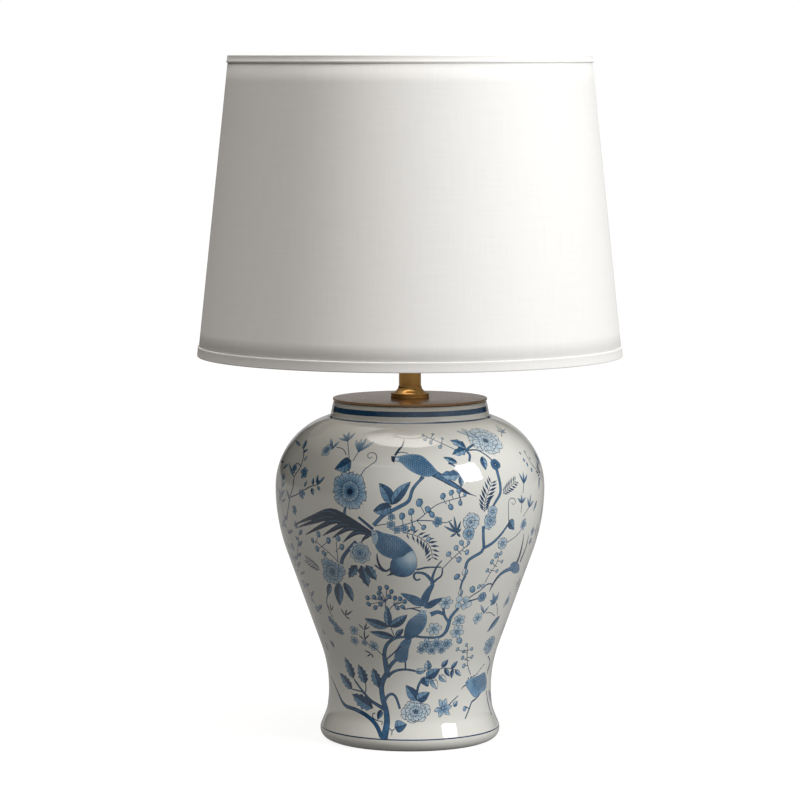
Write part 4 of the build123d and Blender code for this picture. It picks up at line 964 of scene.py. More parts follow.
def with_wraps(shapes):
    """The shapes, with those over the half's edge repeated at its other edge."""
    laid = []
    for edge, tone, fade in shapes:
        laid.append((edge, tone, fade))
        if crossing(edge) and len(edge) < 90:
            for turn in (-2 * QUARTER, 2 * QUARTER):
                shift = lambda p, by=turn: (p[0] + by, p[1])
                moved = fade and (shift(fade[0]), *fade[1:])
                laid.append(([shift(p) for p in edge], tone, moved))
    return laid


def cut_sheet(columns, levels, shapes, ends=None):
    """A flat sheet's places and triangles, cut along the shapes. Each triangle has its top shape."""
    ends = ends or levels
    border = [(c, levels[0]) for c in columns[:-1]] + [(columns[-1], r) for r in ends[:-1]]
    border += [(c, levels[-1]) for c in columns[:0:-1]] + [(columns[0], r) for r in ends[:0:-1]]
    places = border + [(c, r) for c in columns[1:-1] for r in levels[1:-1]]
    faces = [list(range(len(border)))]
    for edge in shapes:
        faces.append(list(range(len(places), len(places) + len(edge))))
        places += edge
    found = delaunay_2d_cdt([Vector(p) for p in places], [], faces, 0, 1e-4, True)
    spots = [tuple(p) for p in found[0]]
    frames = [[(min(line), max(line)) for line in zip(*edge)] for edge in shapes]
    triangles = []
    for face, owners in zip(found[2], found[5]):
        if 0 in owners:
            middle = [sum(spots[i][k] for i in face) / 3 for k in (0, 1)]
            held = [k - 1 for k in owners
                    if k and all(low < m < high for m, (low, high) in zip(middle, frames[k - 1]))]
            triangles.append((face, max(held, default=-1)))
    return spots, triangles


def tone_at(shape, place):
    if shape is None:
        return 0.0
    _, tone, fade = shape
    if fade:
        tone += (fade[2] - tone) * min(1.0, math.hypot(*span(fade[0], place)) / fade[1])
    return min(1.0, max(0.0, tone))


clay_points, clay_faces, clay_facing, clay_tones, clay_uv = [], [], [], [], []
shared = {}
OUTSIDE_HIGH = 0.54
hole_ring = []
for i in range(24):
    a = math.tau * i / 24
    z = CORD_Z + CORD_HOLE * math.sin(a)
    round_ = math.asin(CORD_HOLE * math.cos(a) / float(np.interp(z, side_z, side_r))) * ROLL_R
    hole_ring.append((round_, height_up(z)))
front = with_wraps(washes)
fewer = [w for w in washes if crossing(w[0]) or len(w[0]) > 90 or area_of(w[0]) > LEAST_BACK_STROKE]
back = with_wraps(fewer[:-1])
foot_line = fewer[-1][0]
for side in (-1, 1):
    part = [(u, v) for u, v in foot_line if u * side > 9]
    back.append((part, *fewer[-1][1:]))
back.append((hole_ring, None, None))
outer_hole = {}
seam = rows
for _ in range(2):
    cuts = [cut_sheet(round_steps, rows, [shape[0] for shape in shapes], seam) for shapes in (front, back)]
    met = [p[1] for spots, _ in cuts for p in spots if abs(p[0]) > QUARTER - 1e-3]
    seam = [0.0]
    for s in sorted(met):
        if s - seam[-1] > 0.03:
            seam.append(s)
    seam[-1] = rows[-1]
for half, shapes in enumerate((front, back)):
    spots, triangles = cuts[half]
    s = np.array([p[1] for p in spots])
    theta = np.array([p[0] for p in spots]) / ROLL_R + math.pi * half
    r, z = np.interp(s, up_side, side_r), np.interp(s, up_side, side_z)
    out, lift = np.interp(s, up_side, facing_r), np.interp(s, up_side, facing_z)
    index = {}
    for i in {i for face, _ in triangles for i in face}:
        side = 0 if abs(spots[i][0]) < QUARTER - 1e-3 else (half + (1 if spots[i][0] > 0 else 0)) % 2 + 1
        key = (half, *spots[i])
        if side:
            key = (side + 1, 0.0, min(seam, key=lambda level: abs(level - spots[i][1])))
        if key not in shared:
            shared[key] = len(clay_points)
            clay_points.append((r[i] * math.sin(theta[i]), -r[i] * math.cos(theta[i]), z[i]))
        index[i] = shared[key]
        if half and s[i] < 30 and abs(spots[i][0]) < 12:
            outer_hole[spots[i]] = shared[key]
    for face, top in triangles:
        shape = shapes[top] if top >= 0 else None
        if shape and shape[1] is None:
            continue
        if len({index[i] for i in face}) < 3:
            continue
        clay_faces.append([index[i] for i in face])
        for i in face:
            size = math.hypot(out[i], lift[i])
            across = out[i] / size
            clay_facing.append((across * math.sin(theta[i]), -across * math.cos(theta[i]), lift[i] / size))
            clay_tones.append(tone_at(shape, spots[i]))
            clay_uv.append((theta[i] / math.tau + 0.25, s[i] / up_side[-1] * OUTSIDE_HIGH))


def smoothed_runs(profile, limit=40.0, closed=False):
    """Facing at both ends of each run of a turned outline, shared where the bend is slight."""
    runs = [(b[0] - a[0], b[1] - a[1]) for a, b in zip(profile,
        profile[1:] + (profile[:1] if closed else []))]
    own = [Vector((dz, -dr)).normalized() for dr, dz in runs]
    facings = []
    for i, n in enumerate(own):
        ends = []
        for j in (i - 1, i + 1):
            if not closed and not 0 <= j < len(own):
                ends.append(n)
                continue
            other = own[j % len(own)]
            ends.append((n + other).normalized() if n.dot(other) > math.cos(math.radians(limit)) else n)
        facings.append(ends)
    return facings


def inside_corner(centre, radius, start, end, count=6):
    """Places of a small arc in a turned outline."""
    angles = [math.radians(start + (end - start) * i / count) for i in range(count + 1)]
    return [(centre[0] + radius * math.cos(a), centre[1] + radius * math.sin(a)) for a in angles]


# inside: lip, mouth, then the outside moved in by the wall, the floor and the stem hole
hollow = [(r - fr * WALL, z - fz * WALL) for r, z, fr, fz in outline if WAIST_Z - 12 < z < neck_foot_z]
hollow = [p for p in hollow[::-14] if p[1] > FLOOR_Z + 5 and (p[0] > MOUTH_R or p[1] < BELLY_Z)]
low_r = hollow[-1][0] + 1.4
inner = [(NECK_TOP_R - LIP_FILLET, LIP_Z), *inside_corner((MOUTH_R + 1.0, LIP_Z - 1.0), 1.0, 90, 180)]
inner += [(MOUTH_R, LIP_Z - 7), *hollow, *inside_corner((low_r - 4, FLOOR_Z + 4), 4.0, 0, -90)]
inner += [(low_r - 30, FLOOR_Z), (HOLE_R, FLOOR_Z), (HOLE_R, RECESS_Z), (30, RECESS_Z)]
inner += [(RECESS_R - 1.5, RECESS_Z), *inside_corner((RECESS_R - 1.5, RECESS_Z - 1.5), 1.5, 90, 0)[1:]]
rim_turn = [(RECESS_R, RIM_Z), (66.0, RIM_Z), (float(side_r[0]), RIM_Z)]
angles = [(i / GLAZE_SEGMENTS - 0.25) * math.tau for i in range(GLAZE_SEGMENTS + 1)]
round_key = {}
for key, i in shared.items():
    x, y, _ = clay_points[i]
    if min(key[2], up_side[-1] - key[2]) < 1e-3:
        column = round((math.atan2(x, -y) / math.tau + 0.25) * GLAZE_SEGMENTS) % GLAZE_SEGMENTS
        round_key[(key[2] > 1, column)] = i


def lathed(profile, first=None, last=None, high=(0.55, 1.0)):
    """Rings of clay along an outline, joined to rings that are there already."""
    rings = []
    for j, (r, z) in enumerate(profile):
        if j == 0 and first is not None or j == len(profile) - 1 and last is not None:
            rings.append(first if j == 0 else last)
            continue
        rings.append([len(clay_points) + i for i in range(GLAZE_SEGMENTS)])
        clay_points.extend((r * math.sin(a), -r * math.cos(a), z) for a in angles[:-1])
    lengths = [0.0]
    for a, b in zip(profile, profile[1:]):
        lengths.append(lengths[-1] + math.hypot(b[0] - a[0], b[1] - a[1]))
    levels = [high[0] + (high[1] - high[0]) * d / lengths[-1] for d in lengths]
    for j, (start, end) in enumerate(smoothed_runs(profile)):
        for i in range(GLAZE_SEGMENTS):
            k = (i + 1) % GLAZE_SEGMENTS
            clay_faces.append([rings[j][i], rings[j][k], rings[j + 1][k], rings[j + 1][i]])
            for a, facing, level in ((i, start, j), (i + 1, start, j), (i + 1, end, j + 1), (i, end,
                j + 1)):
                turn = angles[a]
                clay_facing.append((facing[0] * math.sin(turn), -facing[0] * math.cos(turn), facing[1]))
                clay_tones.append(0.0)
                clay_uv.append((a / GLAZE_SEGMENTS, levels[level]))
    return rings


top_ring = [round_key[(True, i)] for i in range(GLAZE_SEGMENTS)]
rim_ring = [round_key[(False, i)] for i in range(GLAZE_SEGMENTS)]
wall_top = lathed(inner, first=top_ring, high=(0.55, 0.93))[-1]
wall_foot = lathed(rim_turn, last=rim_ring, high=(0.99, 1.0))[0]

# wall of the recess, with the inner end of the cord hole, and the hole's own wall
wall_columns = [a * RECESS_R for a in angles]
round_hole = [(RECESS_R * (math.pi + math.asin(CORD_HOLE * math.cos(math.tau * i / 24) / RECESS_R)),
               CORD_Z + CORD_HOLE * math.sin(math.tau * i / 24)) for i in range(24)]
spots, triangles = cut_sheet(wall_columns, [RIM_Z, 8.0, 16.0, RECESS_Z - 1.5], [round_hole])
index, inner_hole = {}, {}
for i in {i for face, top in triangles if top < 0 for i in face}:
    a, z = spots[i][0] / RECESS_R, spots[i][1]
    column = round((a / math.tau + 0.25) * GLAZE_SEGMENTS)
    if abs(z - RIM_Z) < 1e-4 or abs(z - RECESS_Z + 1.5) < 1e-4:
        index[i] = (wall_foot if z < 5 else wall_top)[column % GLAZE_SEGMENTS]
        continue
    key = ("wall", column % GLAZE_SEGMENTS, round(z, 3)) if z in (8.0,
        16.0) and abs(angles[column] - a) < 1e-4 else ("wall", a, z)
    if key not in shared:
        shared[key] = len(clay_points)
        clay_points.append((RECESS_R * math.sin(a), -RECESS_R * math.cos(a), z))
    index[i] = shared[key]
    inner_hole[spots[i]] = index[i]
for face, top in triangles:
    if top >= 0:
        continue
    clay_faces.append([index[i] for i in face[::-1]])
    for i in face[::-1]:
        a = spots[i][0] / RECESS_R
        clay_facing.append((-math.sin(a), math.cos(a), 0.0))
        clay_tones.append(0.0)
        clay_uv.append((a / math.tau + 0.25, 0.94 + 0.045 * spots[i][1] / RECESS_Z))
outer_loop = [outer_hole[min(outer_hole, key=lambda p: math.dist(p, q))] for q in hole_ring]
inner_loop = [inner_hole[min(inner_hole, key=lambda p: math.dist(p, q))] for q in round_hole]
for i in range(24):
    k = (i + 1) % 24
    # seen from outside the two loops turn opposite ways, because the back half is turned round
    clay_faces.append([outer_loop[i], outer_loop[k], inner_loop[k], inner_loop[i]])
    for j in (i, k, k, i):
        a = math.tau * j / 24
        clay_facing.append((math.cos(a), 0.0, -math.sin(a)))
        clay_tones.append(0.0)
        clay_uv.append((0.5 + 0.01 * j / 24, 0.985))

jar_mesh = bpy.data.meshes.new("painted_jar")
jar_mesh.from_pydata([(x * MM, y * MM, z * MM) for x, y, z in clay_points], [], clay_faces)
jar_mesh.polygons.foreach_set("use_smooth", [True] * len(clay_faces))
jar_mesh.uv_layers.new(name="OFBake").data.foreach_set("uv", [v for pair in clay_uv for v in pair])
jar_mesh.attributes.new("cobalt", "FLOAT", "CORNER").data.foreach_set("value", clay_tones)
jar_mesh.normals_split_custom_set(clay_facing)
painted_jar = bpy.data.objects.new("painted_jar", jar_mesh)
bpy.context.collection.objects.link(painted_jar)


def hue(red, green, blue):
    """A colour given on a 0 to 255 scale, as the shaders take it."""
    return (*[(c / 255 / 12.92 if c < 11 else ((c / 255 + 0.055) / 1.055) ** 2.4) for c in (red, green,
        blue)], 1.0)


def new_finish(name, **sockets):
    """A material whose plain values sit on its shader. Returns it, its nodes' tree and shader."""
    material = bpy.data.materials.new(name)
    material.use_nodes = True
    tree = material.node_tree
    shader = tree.nodes["Principled BSDF"]
    for socket, value in sockets.items():
        shader.inputs[socket.replace("_", " ")].default_value = value
    return material, tree, shader


def lay(tree, kind, inputs=None, **settings):
    """A node in a tree, with each input set to a value or joined to another node's output."""
    made = tree.nodes.new("ShaderNode" + kind)
    for key, value in settings.items():
        setattr(made, key, value)
    for socket, value in (inputs or {}).items():
        if isinstance(value, bpy.types.NodeSocket):
            tree.links.new(value, made.inputs[socket])
        else:
            made.inputs[socket].default_value = value
    return made


def shades(tree, factor, *stops):
    """A run of colours along a factor, each stop as (place, colour)."""
    ramp = lay(tree, "ValToRGB", {"Fac": factor})
    keys = ramp.color_ramp.elements
    while len(keys) < len(stops):
        keys.new(0.5)
    for key, (place, colour) in zip(keys, stops):
        key.position, key.color = place, colour
    return ramp.outputs["Color"]


def tinted(tree, colour, by, factor=1.0, blend="MULTIPLY"):
    """A colour changed by another colour or by a value."""
    mix = lay(tree, "Mix", {0: factor, 6: colour, 7: by}, data_type="RGBA", blend_type=blend)
    return mix.outputs[2]


def new_effect(name, inputs, outputs):
    """An empty shared effect with its named sockets. Returns its tree, its inputs and its end."""
    tree = bpy.data.node_groups.new(name, "ShaderNodeTree")
    for socket, value in inputs.items():
        kind = "NodeSocketVector" if value is None else "NodeSocketFloat"
        made = tree.interface.new_socket(socket, in_out="INPUT", socket_type=kind)
        if value is not None:
            made.default_value = value
    for socket, kind in outputs.items():
        tree.interface.new_socket(socket, in_out="OUTPUT", socket_type="NodeSocket" + kind)
    return tree, tree.nodes.new("NodeGroupInput").outputs, tree.nodes.new("NodeGroupOutput").inputs


def effect(tree, group, **values):
    """A shared effect placed in a material with its own values."""
    placed = tree.nodes.new("ShaderNodeGroup")
    placed.node_tree = group
    for socket, value in values.items():
        if isinstance(value, bpy.types.NodeSocket):
            tree.links.new(value, placed.inputs[socket.replace("_", " ")])
        else:
            placed.inputs[socket.replace("_", " ")].default_value = value
    return placed.outputs


# a shared effect: soft cloudy variation round 1, for glaze, cloth, metal and plastic
cloud, cloud_in, cloud_out = new_effect(
    "cloudy_variation", {"Size": 20.0, "Amount": 0.1, "Fine": 2.0}, {"Value": "Float", "Raw": "Float"})
place = lay(cloud, "TexCoord").outputs["Object"]
drift = lay(cloud, "TexNoise", {"Vector": place, "Scale": cloud_in["Size"], "Detail": cloud_in["Fine"]})
centred = lay(cloud, "Math", {0: drift.outputs["Fac"], 1: 0.5}, operation="SUBTRACT").outputs[0]
swing = lay(cloud, "Math", {0: centred, 1: cloud_in["Amount"]}, operation="MULTIPLY").outputs[0]
cloud.links.new(lay(cloud, "Math", {0: swing, 1: 1.0}, operation="ADD").outputs[0], cloud_out["Value"])
cloud.links.new(drift.outputs["Fac"], cloud_out["Raw"])

# glaze: cobalt that breaks up into grains in the washes, under a thick clear glaze
glaze, tree, shader = new_finish("cobalt_under_clear_glaze", IOR=1.5, Coat_Roughness=0.03, Coat_IOR=1.5)
painted = lay(tree, "Attribute", attribute_name="cobalt").outputs["Fac"]
grain = effect(tree, cloud, Size=1300.0, Amount=0.6, Fine=2.0)["Value"]
pools = effect(tree, cloud, Size=160.0, Amount=0.5, Fine=2.0)["Value"]
room = lay(tree, "MapRange", {"Value": painted, "From Min": 0.0, "From Max": 0.12}).outputs["Result"]
broken = lay(tree, "Math", {0: grain, 1: pools}, operation="MULTIPLY").outputs[0]
broken = lay(tree, "Mix", {"Factor": room, "A": 1.0, "B": broken}).outputs["Result"]
thin = lay(tree, "MapRange", {"Value": painted, "From Min": 0.75, "From Max": 1.0, "To Min": 1.0,
    "To Max": 0.25})
broken = lay(tree, "Mix", {"Factor": thin.outputs["Result"], "A": 1.0, "B": broken}).outputs["Result"]
strength = lay(tree, "Math", {0: painted, 1: broken}, operation="MULTIPLY", use_clamp=True).outputs[0]
cobalt = shades(tree, strength, (0.0, hue(229, 229, 223)), (0.2, hue(184, 206, 221)), (0.4, hue(124, 162,
    192)),
                (0.6, hue(70, 120, 160)), (0.8, hue(34, 82, 122)), (1.0, hue(17, 44, 74)))
body_drift = effect(tree, cloud, Size=9.0, Amount=0.07, Fine=3.0)["Value"]
tree.links.new(tinted(tree, cobalt, body_drift), shader.inputs["Base Color"])
height = lay(tree, "SeparateXYZ", {"Vector": lay(tree, "TexCoord").outputs["Object"]}).outputs["Z"]
fired = lay(tree, "MapRange", {"Value": height, "From Min": 0.0010, "From Max": 0.0016}).outputs["Result"]
tree.links.new(fired, shader.inputs["Coat Weight"])
dry = lay(tree, "MapRange", {"Value": fired, "To Min": 0.75, "To Max": 0.09}).outputs["Result"]
tree.links.new(dry, shader.inputs["Roughness"])
wave = effect(tree, cloud, Size=42.0, Amount=1.0, Fine=1.0)["Raw"]
bump = lay(tree, "Bump", {"Height": wave, "Strength": 0.3, "Distance": 0.0007}).outputs["Normal"]
tree.links.new(bump, shader.inputs["Normal"])
tree.links.new(bump, shader.inputs["Coat Normal"])
jar_mesh.materials.append(glaze)
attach(painted_jar, "lamp")
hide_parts("jar")

# --- Felt under the foot ---
# A die-cut disc of dark wool felt, glued under the rim so that the glaze doesn't scratch a table.


def eased(outline):
    """A closed turned outline whose third values round its corners. Places are (r, z) in mm."""
    points = []
    count = len(outline)
    for i, corner in enumerate(outline):
        if len(corner) == 2:
            points.append(corner)
            continue
        here = Vector(corner[:2])
        before, after = (Vector(outline[(i + k) % count][:2]) for k in (-1, 1))
        turn = (before - here).angle(after - here)
        reach = corner[2] / math.tan(turn / 2)
        start, end = (here + (side - here).normalized() * reach for side in (before, after))
        steps = 5
        for j in range(steps + 1):
            t = j / steps
            bent = start * (1 - t) ** 2 + here * 2 * t * (1 - t) + end * t * t
            if corner[2] > 0:
                points.append(tuple(bent))
    return points


def spun(name, outline, material, body, columns=144, swell=None, closed=True):
    """A piece turned from an outline that runs up its outside. Swell adds to the radius."""
    outline = eased(outline)
    verts, rings, faces, facing, cut = [], [], [], [], []
    for r, z in outline:
        if r < 1e-4:
            rings.append([len(verts)] * columns)
            verts.append((0.0, 0.0, z * MM))
            continue
        rings.append([len(verts) + i for i in range(columns)])
        for i in range(columns):
            a = math.tau * i / columns + math.pi
            more = swell(a, r, z) if swell else 0.0
            verts.append(((r + more) * math.sin(a) * MM, -(r + more) * math.cos(a) * MM, z * MM))
    lengths = [0.0]
    for a, b in zip(outline, outline[1:] + outline[:1]):
        lengths.append(lengths[-1] + math.dist(a, b))
    widest = max(r for r, _ in outline)
    for j, (start, end) in enumerate(smoothed_runs(outline, closed=closed)):
        low, high = rings[j], rings[(j + 1) % len(rings)]
        for i in range(columns):
            k = (i + 1) % columns
            corners = [(low[i], i, start, j), (low[k], i + 1, start, j), (high[k], i + 1, end, j + 1),
                (high[i], i, end, j + 1)]
            if low[i] == low[k]:
                corners.pop(0)
            elif high[i] == high[k]:
                corners.pop(3)
            if low[i] == low[k] and high[i] == high[k]:
                continue
            faces.append([c[0] for c in corners])
            for _, column, n, level in corners:
                a = math.tau * column / columns + math.pi
                facing.append((n[0] * math.sin(a), -n[0] * math.cos(a), n[1]))
                cut.append(((a - math.tau) * widest * MM, lengths[level] * MM))
    mesh = bpy.data.meshes.new(name)
    mesh.from_pydata(verts, [], faces)
    mesh.polygons.foreach_set("use_smooth", [True] * len(faces))
    mesh.uv_layers.new(name="laid_out").data.foreach_set("uv", [v for pair in cut for v in pair])
    if not swell:
        mesh.normals_split_custom_set(facing)
    mesh.materials.append(material)
    piece = bpy.data.objects.new(name, mesh)
    bpy.context.collection.objects.link(piece)
    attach(piece, body)
    return piece


felt, tree, shader = new_finish("wool_felt", Roughness=1.0, Sheen_Weight=0.5, Sheen_Roughness=0.5)
mat_of_fibres = effect(tree, cloud, Size=900.0, Amount=0.9, Fine=6.0)
tree.links.new(tinted(tree, hue(74, 78, 74), mat_of_fibres["Value"]), shader.inputs["Base Color"])
bump = lay(tree, "Bump", {"Height": mat_of_fibres["Raw"], "Strength": 0.8, "Distance": 0.0004})
tree.links.new(bump.outputs["Normal"], shader.inputs["Normal"])
felt_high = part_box("base_felt")[1]
felt_r = felt_high.x / MM
felt_outline = [(0, 0), (felt_r, 0, 0.25), (felt_r, RIM_Z), (0, RIM_Z)]
felt_disc = spun("felt_disc", felt_outline, felt, "lamp")
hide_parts("base_felt")

# --- Cord gland and its nut ---
# A moulded nylon bush lines the cord's hole in the foot, so the glaze can't cut the cord. The
# flange stays outside and the nut pulls it tight from inside the recess.


def dress(material, *names):
    """Gives CAD nodes whose shape is right their finish."""
    for name in names:
        for held in nodes[name].material_slots:
            held.material = material
        if not nodes[name].material_slots:
            nodes[name].data.materials.append(material)


def moulded(name, colour, rough, depth=0.00004, size=2600.0):
    """A moulded plastic or rubber: fine spark-eroded grain and faint flow marks."""
    material, tree, shader = new_finish(name, Roughness=rough, IOR=1.5)
    flow_marks = effect(tree, cloud, Size=70.0, Amount=0.12, Fine=3.0)["Value"]
    tree.links.new(tinted(tree, colour, flow_marks), shader.inputs["Base Color"])
    sparks = effect(tree, cloud, Size=size, Amount=1.0, Fine=2.0)
    bump = lay(tree, "Bump", {"Height": sparks["Raw"], "Strength": 0.5, "Distance": depth})
    tree.links.new(bump.outputs["Normal"], shader.inputs["Normal"])
    patchy = effect(tree, cloud, Size=120.0, Amount=0.3, Fine=3.0)["Value"]
    rough_place = lay(tree, "Math", {0: patchy, 1: rough}, operation="MULTIPLY").outputs[0]
    tree.links.new(rough_place, shader.inputs["Roughness"])
    return material


dress(moulded("pale_nylon", hue(226, 222, 212), 0.42), "cord_gland", "gland_nut")

# --- Clamping stack and stem ---
# A rubber gasket, steel plate, toothed washer, earth tag and nut under the jar's floor pull the
# threaded stem tube down, and with it the cap. The steel is zinc plated after stamping.

edges, edge_in, edge_out = new_effect("rubbed_edges", {"Reach": 0.0005, "Wear": 1.0}, {"Mask": "Float"})
round_over = lay(edges, "Bevel", {"Radius": edge_in["Reach"]}, samples=6).outputs["Normal"]
true_side = lay(edges, "NewGeometry").outputs["Normal"]
alike = lay(edges, "VectorMath", {0: round_over, 1: true_side}, operation="DOT_PRODUCT").outputs["Value"]
turned_by = lay(edges, "MapRange", {"Value": alike, "From Min": 0.995, "From Max": 0.9}).outputs["Result"]
patch = lay(edges, "TexNoise", {"Vector": lay(edges, "TexCoord").outputs["Object"], "Scale": 180.0,
    "Detail": 4.0})
broken_up = lay(edges, "MapRange", {"Value": patch.outputs["Fac"], "From Min": 0.35,
    "From Max": 0.6}).outputs["Result"]
rubbed = lay(edges, "Math", {0: turned_by, 1: broken_up}, operation="MULTIPLY").outputs[0]
edges.links.new(lay(edges, "Math", {0: rubbed, 1: edge_in["Wear"]}, operation="MULTIPLY").outputs[0],
    edge_out["Mask"])

lathe, lathe_in, lathe_out = new_effect(
    "turning_marks", {"Pitch": 0.0003}, {"Height": "Float", "Line": "Float"})
parts = lay(lathe, "SeparateXYZ", {"Vector": lay(lathe, "TexCoord").outputs["Object"]}).outputs
reach = lay(lathe, "CombineXYZ", {"X": parts["X"], "Y": parts["Y"]}).outputs["Vector"]
reach = lay(lathe, "VectorMath", {0: reach}, operation="LENGTH").outputs["Value"]
along = lay(lathe, "Math", {0: reach, 1: parts["Z"]}, operation="ADD").outputs[0]
count = lay(lathe, "Math", {0: along, 1: lathe_in["Pitch"]}, operation="DIVIDE").outputs[0]
marks = lay(lathe, "TexNoise", {"W": count, "Scale": 1.0, "Detail": 2.0},
    noise_dimensions="1D").outputs["Fac"]
lathe.links.new(marks, lathe_out["Height"])
lathe.links.new(marks, lathe_out["Line"])


def plated(name, dull, bright, rough, marks_pitch=0.0004, marks_depth=0.000012, wear=0.6, patches=40.0):
    """A metal with lathe or brush marks, a patchy skin, and edges rubbed back to bright metal."""
    material, tree, shader = new_finish(name, Metallic=1.0)
    skin = effect(tree, cloud, Size=patches, Amount=0.5, Fine=5.0)
    smudge = effect(tree, cloud, Size=14.0, Amount=0.7, Fine=3.0)["Value"]
    worn = effect(tree, edges, Reach=0.0005, Wear=wear)["Mask"]
    colour = tinted(tree, tinted(tree, dull, skin["Value"], 0.5), bright, worn, "MIX")
    tree.links.new(colour, shader.inputs["Base Color"])
    lines = effect(tree, lathe, Pitch=marks_pitch)
    rougher = lay(tree, "Math", {0: smudge, 1: rough}, operation="MULTIPLY").outputs[0]
    spread = lay(tree, "MapRange", {"Value": lines["Line"], "To Min": 0.8, "To Max": 1.2}).outputs["Result"]
    tree.links.new(lay(tree, "Math", {0: rougher, 1: spread}, operation="MULTIPLY").outputs[0],
        shader.inputs["Roughness"])
    bump = lay(tree, "Bump", {"Height": lines["Height"], "Strength": 0.6, "Distance": marks_depth})
    tree.links.new(bump.outputs["Normal"], shader.inputs["Normal"])
    return material


rubber = moulded("black_rubber", hue(34, 34, 35), 0.7, 0.00008, 900.0)
zinc = plated("zinc_plated_steel", hue(176, 178, 180), hue(214, 214, 214), 0.32)
dress(rubber, "floor_gasket")
dress(zinc, "tension_plate", "lock_washer", "base_nut", "stem_rod")

# --- Terminal block, its screws and the fixed wires ---
# A three-way moulded block in the recess joins the mains cord to the fixed wires. Two of them go
# up inside the stem to the lampholder and the striped one goes to the earth tag.

block_body = moulded("brown_black_moulding", hue(62, 58, 56), 0.45)
dress(block_body, "terminal_block")
dress(zinc, "terminal_screws")
tag_brass = plated("plain_brass", hue(206, 170, 98), hue(235, 205, 140), 0.24, 0.0002, 0.000008)
dress(tag_brass, "earth_tag")
dress(moulded("brown_insulation", hue(118, 62, 36), 0.34, 0.00001, 400.0), "live_wire")
dress(moulded("blue_insulation", hue(50, 104, 186), 0.34, 0.00001, 400.0), "neutral_wire")
earth_sleeve, tree, shader = new_finish("striped_insulation", Roughness=0.34)
way = lay(tree, "SeparateXYZ", {"Vector": lay(tree, "TexCoord").outputs["Normal"]}).outputs["X"]
side = lay(tree, "MapRange", {"Value": way, "From Min": -0.04, "From Max": 0.04}).outputs["Result"]
stripes = tinted(tree, hue(64, 148, 60), hue(226, 206, 52), side, "MIX")
uneven = effect(tree, cloud, Size=300.0, Amount=0.15, Fine=2.0)["Value"]
tree.links.new(tinted(tree, stripes, uneven), shader.inputs["Base Color"])
dress(earth_sleeve, "earth_wire")

# --- Cap, its gasket and the spigot that centres it ---
# A thin turned brass plate closes the jar's mouth. It lies on a felt ring, and the ring soldered
# under it keeps it in the middle. It is polished and lacquered, with a little tarnish.

dress(felt, "cap_gasket")
dress(tag_brass, "cap_spigot")
cap_brass, tree, shader = new_finish("lacquered_brass", Metallic=1.0, Coat_Weight=0.35, Coat_Roughness=0.12)
tarnish = effect(tree, cloud, Size=16.0, Amount=0.5, Fine=5.0)
worn = effect(tree, edges, Reach=0.0008, Wear=0.9)["Mask"]
colour = tinted(tree, hue(150, 116, 84), tarnish["Value"], 0.5)
tree.links.new(tinted(tree, colour, hue(236, 196, 150), worn, "MIX"), shader.inputs["Base Color"])
lines = effect(tree, lathe, Pitch=0.0006)
smudges = lay(tree, "MapRange", {"Value": tarnish["Raw"], "To Min": 0.2, "To Max": 0.34}).outputs["Result"]
tree.links.new(smudges, shader.inputs["Roughness"])
bump = lay(tree, "Bump", {"Height": lines["Height"], "Strength": 0.5, "Distance": 0.000006})
tree.links.new(bump.outputs["Normal"], shader.inputs["Normal"])
cap_low, cap_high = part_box("jar_cap")
CAP_R, CAP_UNDER, CAP_TOP = cap_high.x / MM, cap_low.z / MM, cap_high.z / MM
cap_outline = [(HOLE_R, CAP_UNDER), (CAP_R, CAP_UNDER, 0.2), (CAP_R, CAP_TOP, 0.5), (HOLE_R, CAP_TOP, 0.3)]
cap_plate = spun("cap_plate", cap_outline, cap_brass, "lamp", 180)
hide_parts("jar_cap")

# --- Neck: collar, cone, tube and washer ---
# Turned from brass bar and tube, bronzed and left satin. The collar stands on the cap with a fine
# groove round it, the tube fits into the cone's socket, and the washer caps the tube.

bronzed = plated("bronzed_brass", hue(190, 146, 84), hue(232, 192, 124), 0.24, 0.0005, 0.000003, 0.8, 60.0)
COLLAR_R, COLLAR_TOP, CONE_R, CONE_TOP_R, CONE_TOP, LAND_TOP = 17.1, 311.5, 14.3, 10.4, 316.0, 317.6
TUBE_R, TUBE_BORE, TUBE_FOOT, TUBE_TOP = 9.9, 8.7, 314.6, 374.0
collar_outline = [
    (HOLE_R, CAP_TOP), (COLLAR_R, CAP_TOP, 0.15), (COLLAR_R, 308.9, 0.15), (COLLAR_R - 0.5,
        309.1), (COLLAR_R - 0.5, 309.5),
    (COLLAR_R, 309.7, 0.15), (COLLAR_R, COLLAR_TOP, 0.4), (CONE_R + 0.4, COLLAR_TOP, 0.3), (CONE_R,
        COLLAR_TOP + 0.5, 0.3),
    (12.6, 313.2), (11.3, 314.6), (CONE_TOP_R + 0.15, CONE_TOP, 0.4), (CONE_TOP_R, LAND_TOP,
        0.3), (TUBE_R + 0.05, LAND_TOP),
    (TUBE_R + 0.05, TUBE_FOOT), (HOLE_R, TUBE_FOOT),
]
neck_collar = spun("neck_collar", collar_outline, bronzed, "lamp", 120)
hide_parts("neck_base")
tube_outline = [(TUBE_BORE, TUBE_FOOT), (TUBE_R, TUBE_FOOT, 0.2), (TUBE_R, TUBE_TOP, 0.2), (TUBE_BORE,
    TUBE_TOP)]
neck_pipe = spun("neck_pipe", tube_outline, bronzed, "lamp", 96)
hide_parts("neck_tube")
washer_outline = [(HOLE_R, TUBE_TOP), (11.5, TUBE_TOP, 0.6), (11.5, TUBE_TOP + 2, 0.6), (HOLE_R,
    TUBE_TOP + 2)]
pipe_washer = spun("pipe_washer", washer_outline, bronzed, "lamp", 96)
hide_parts("tube_washer")

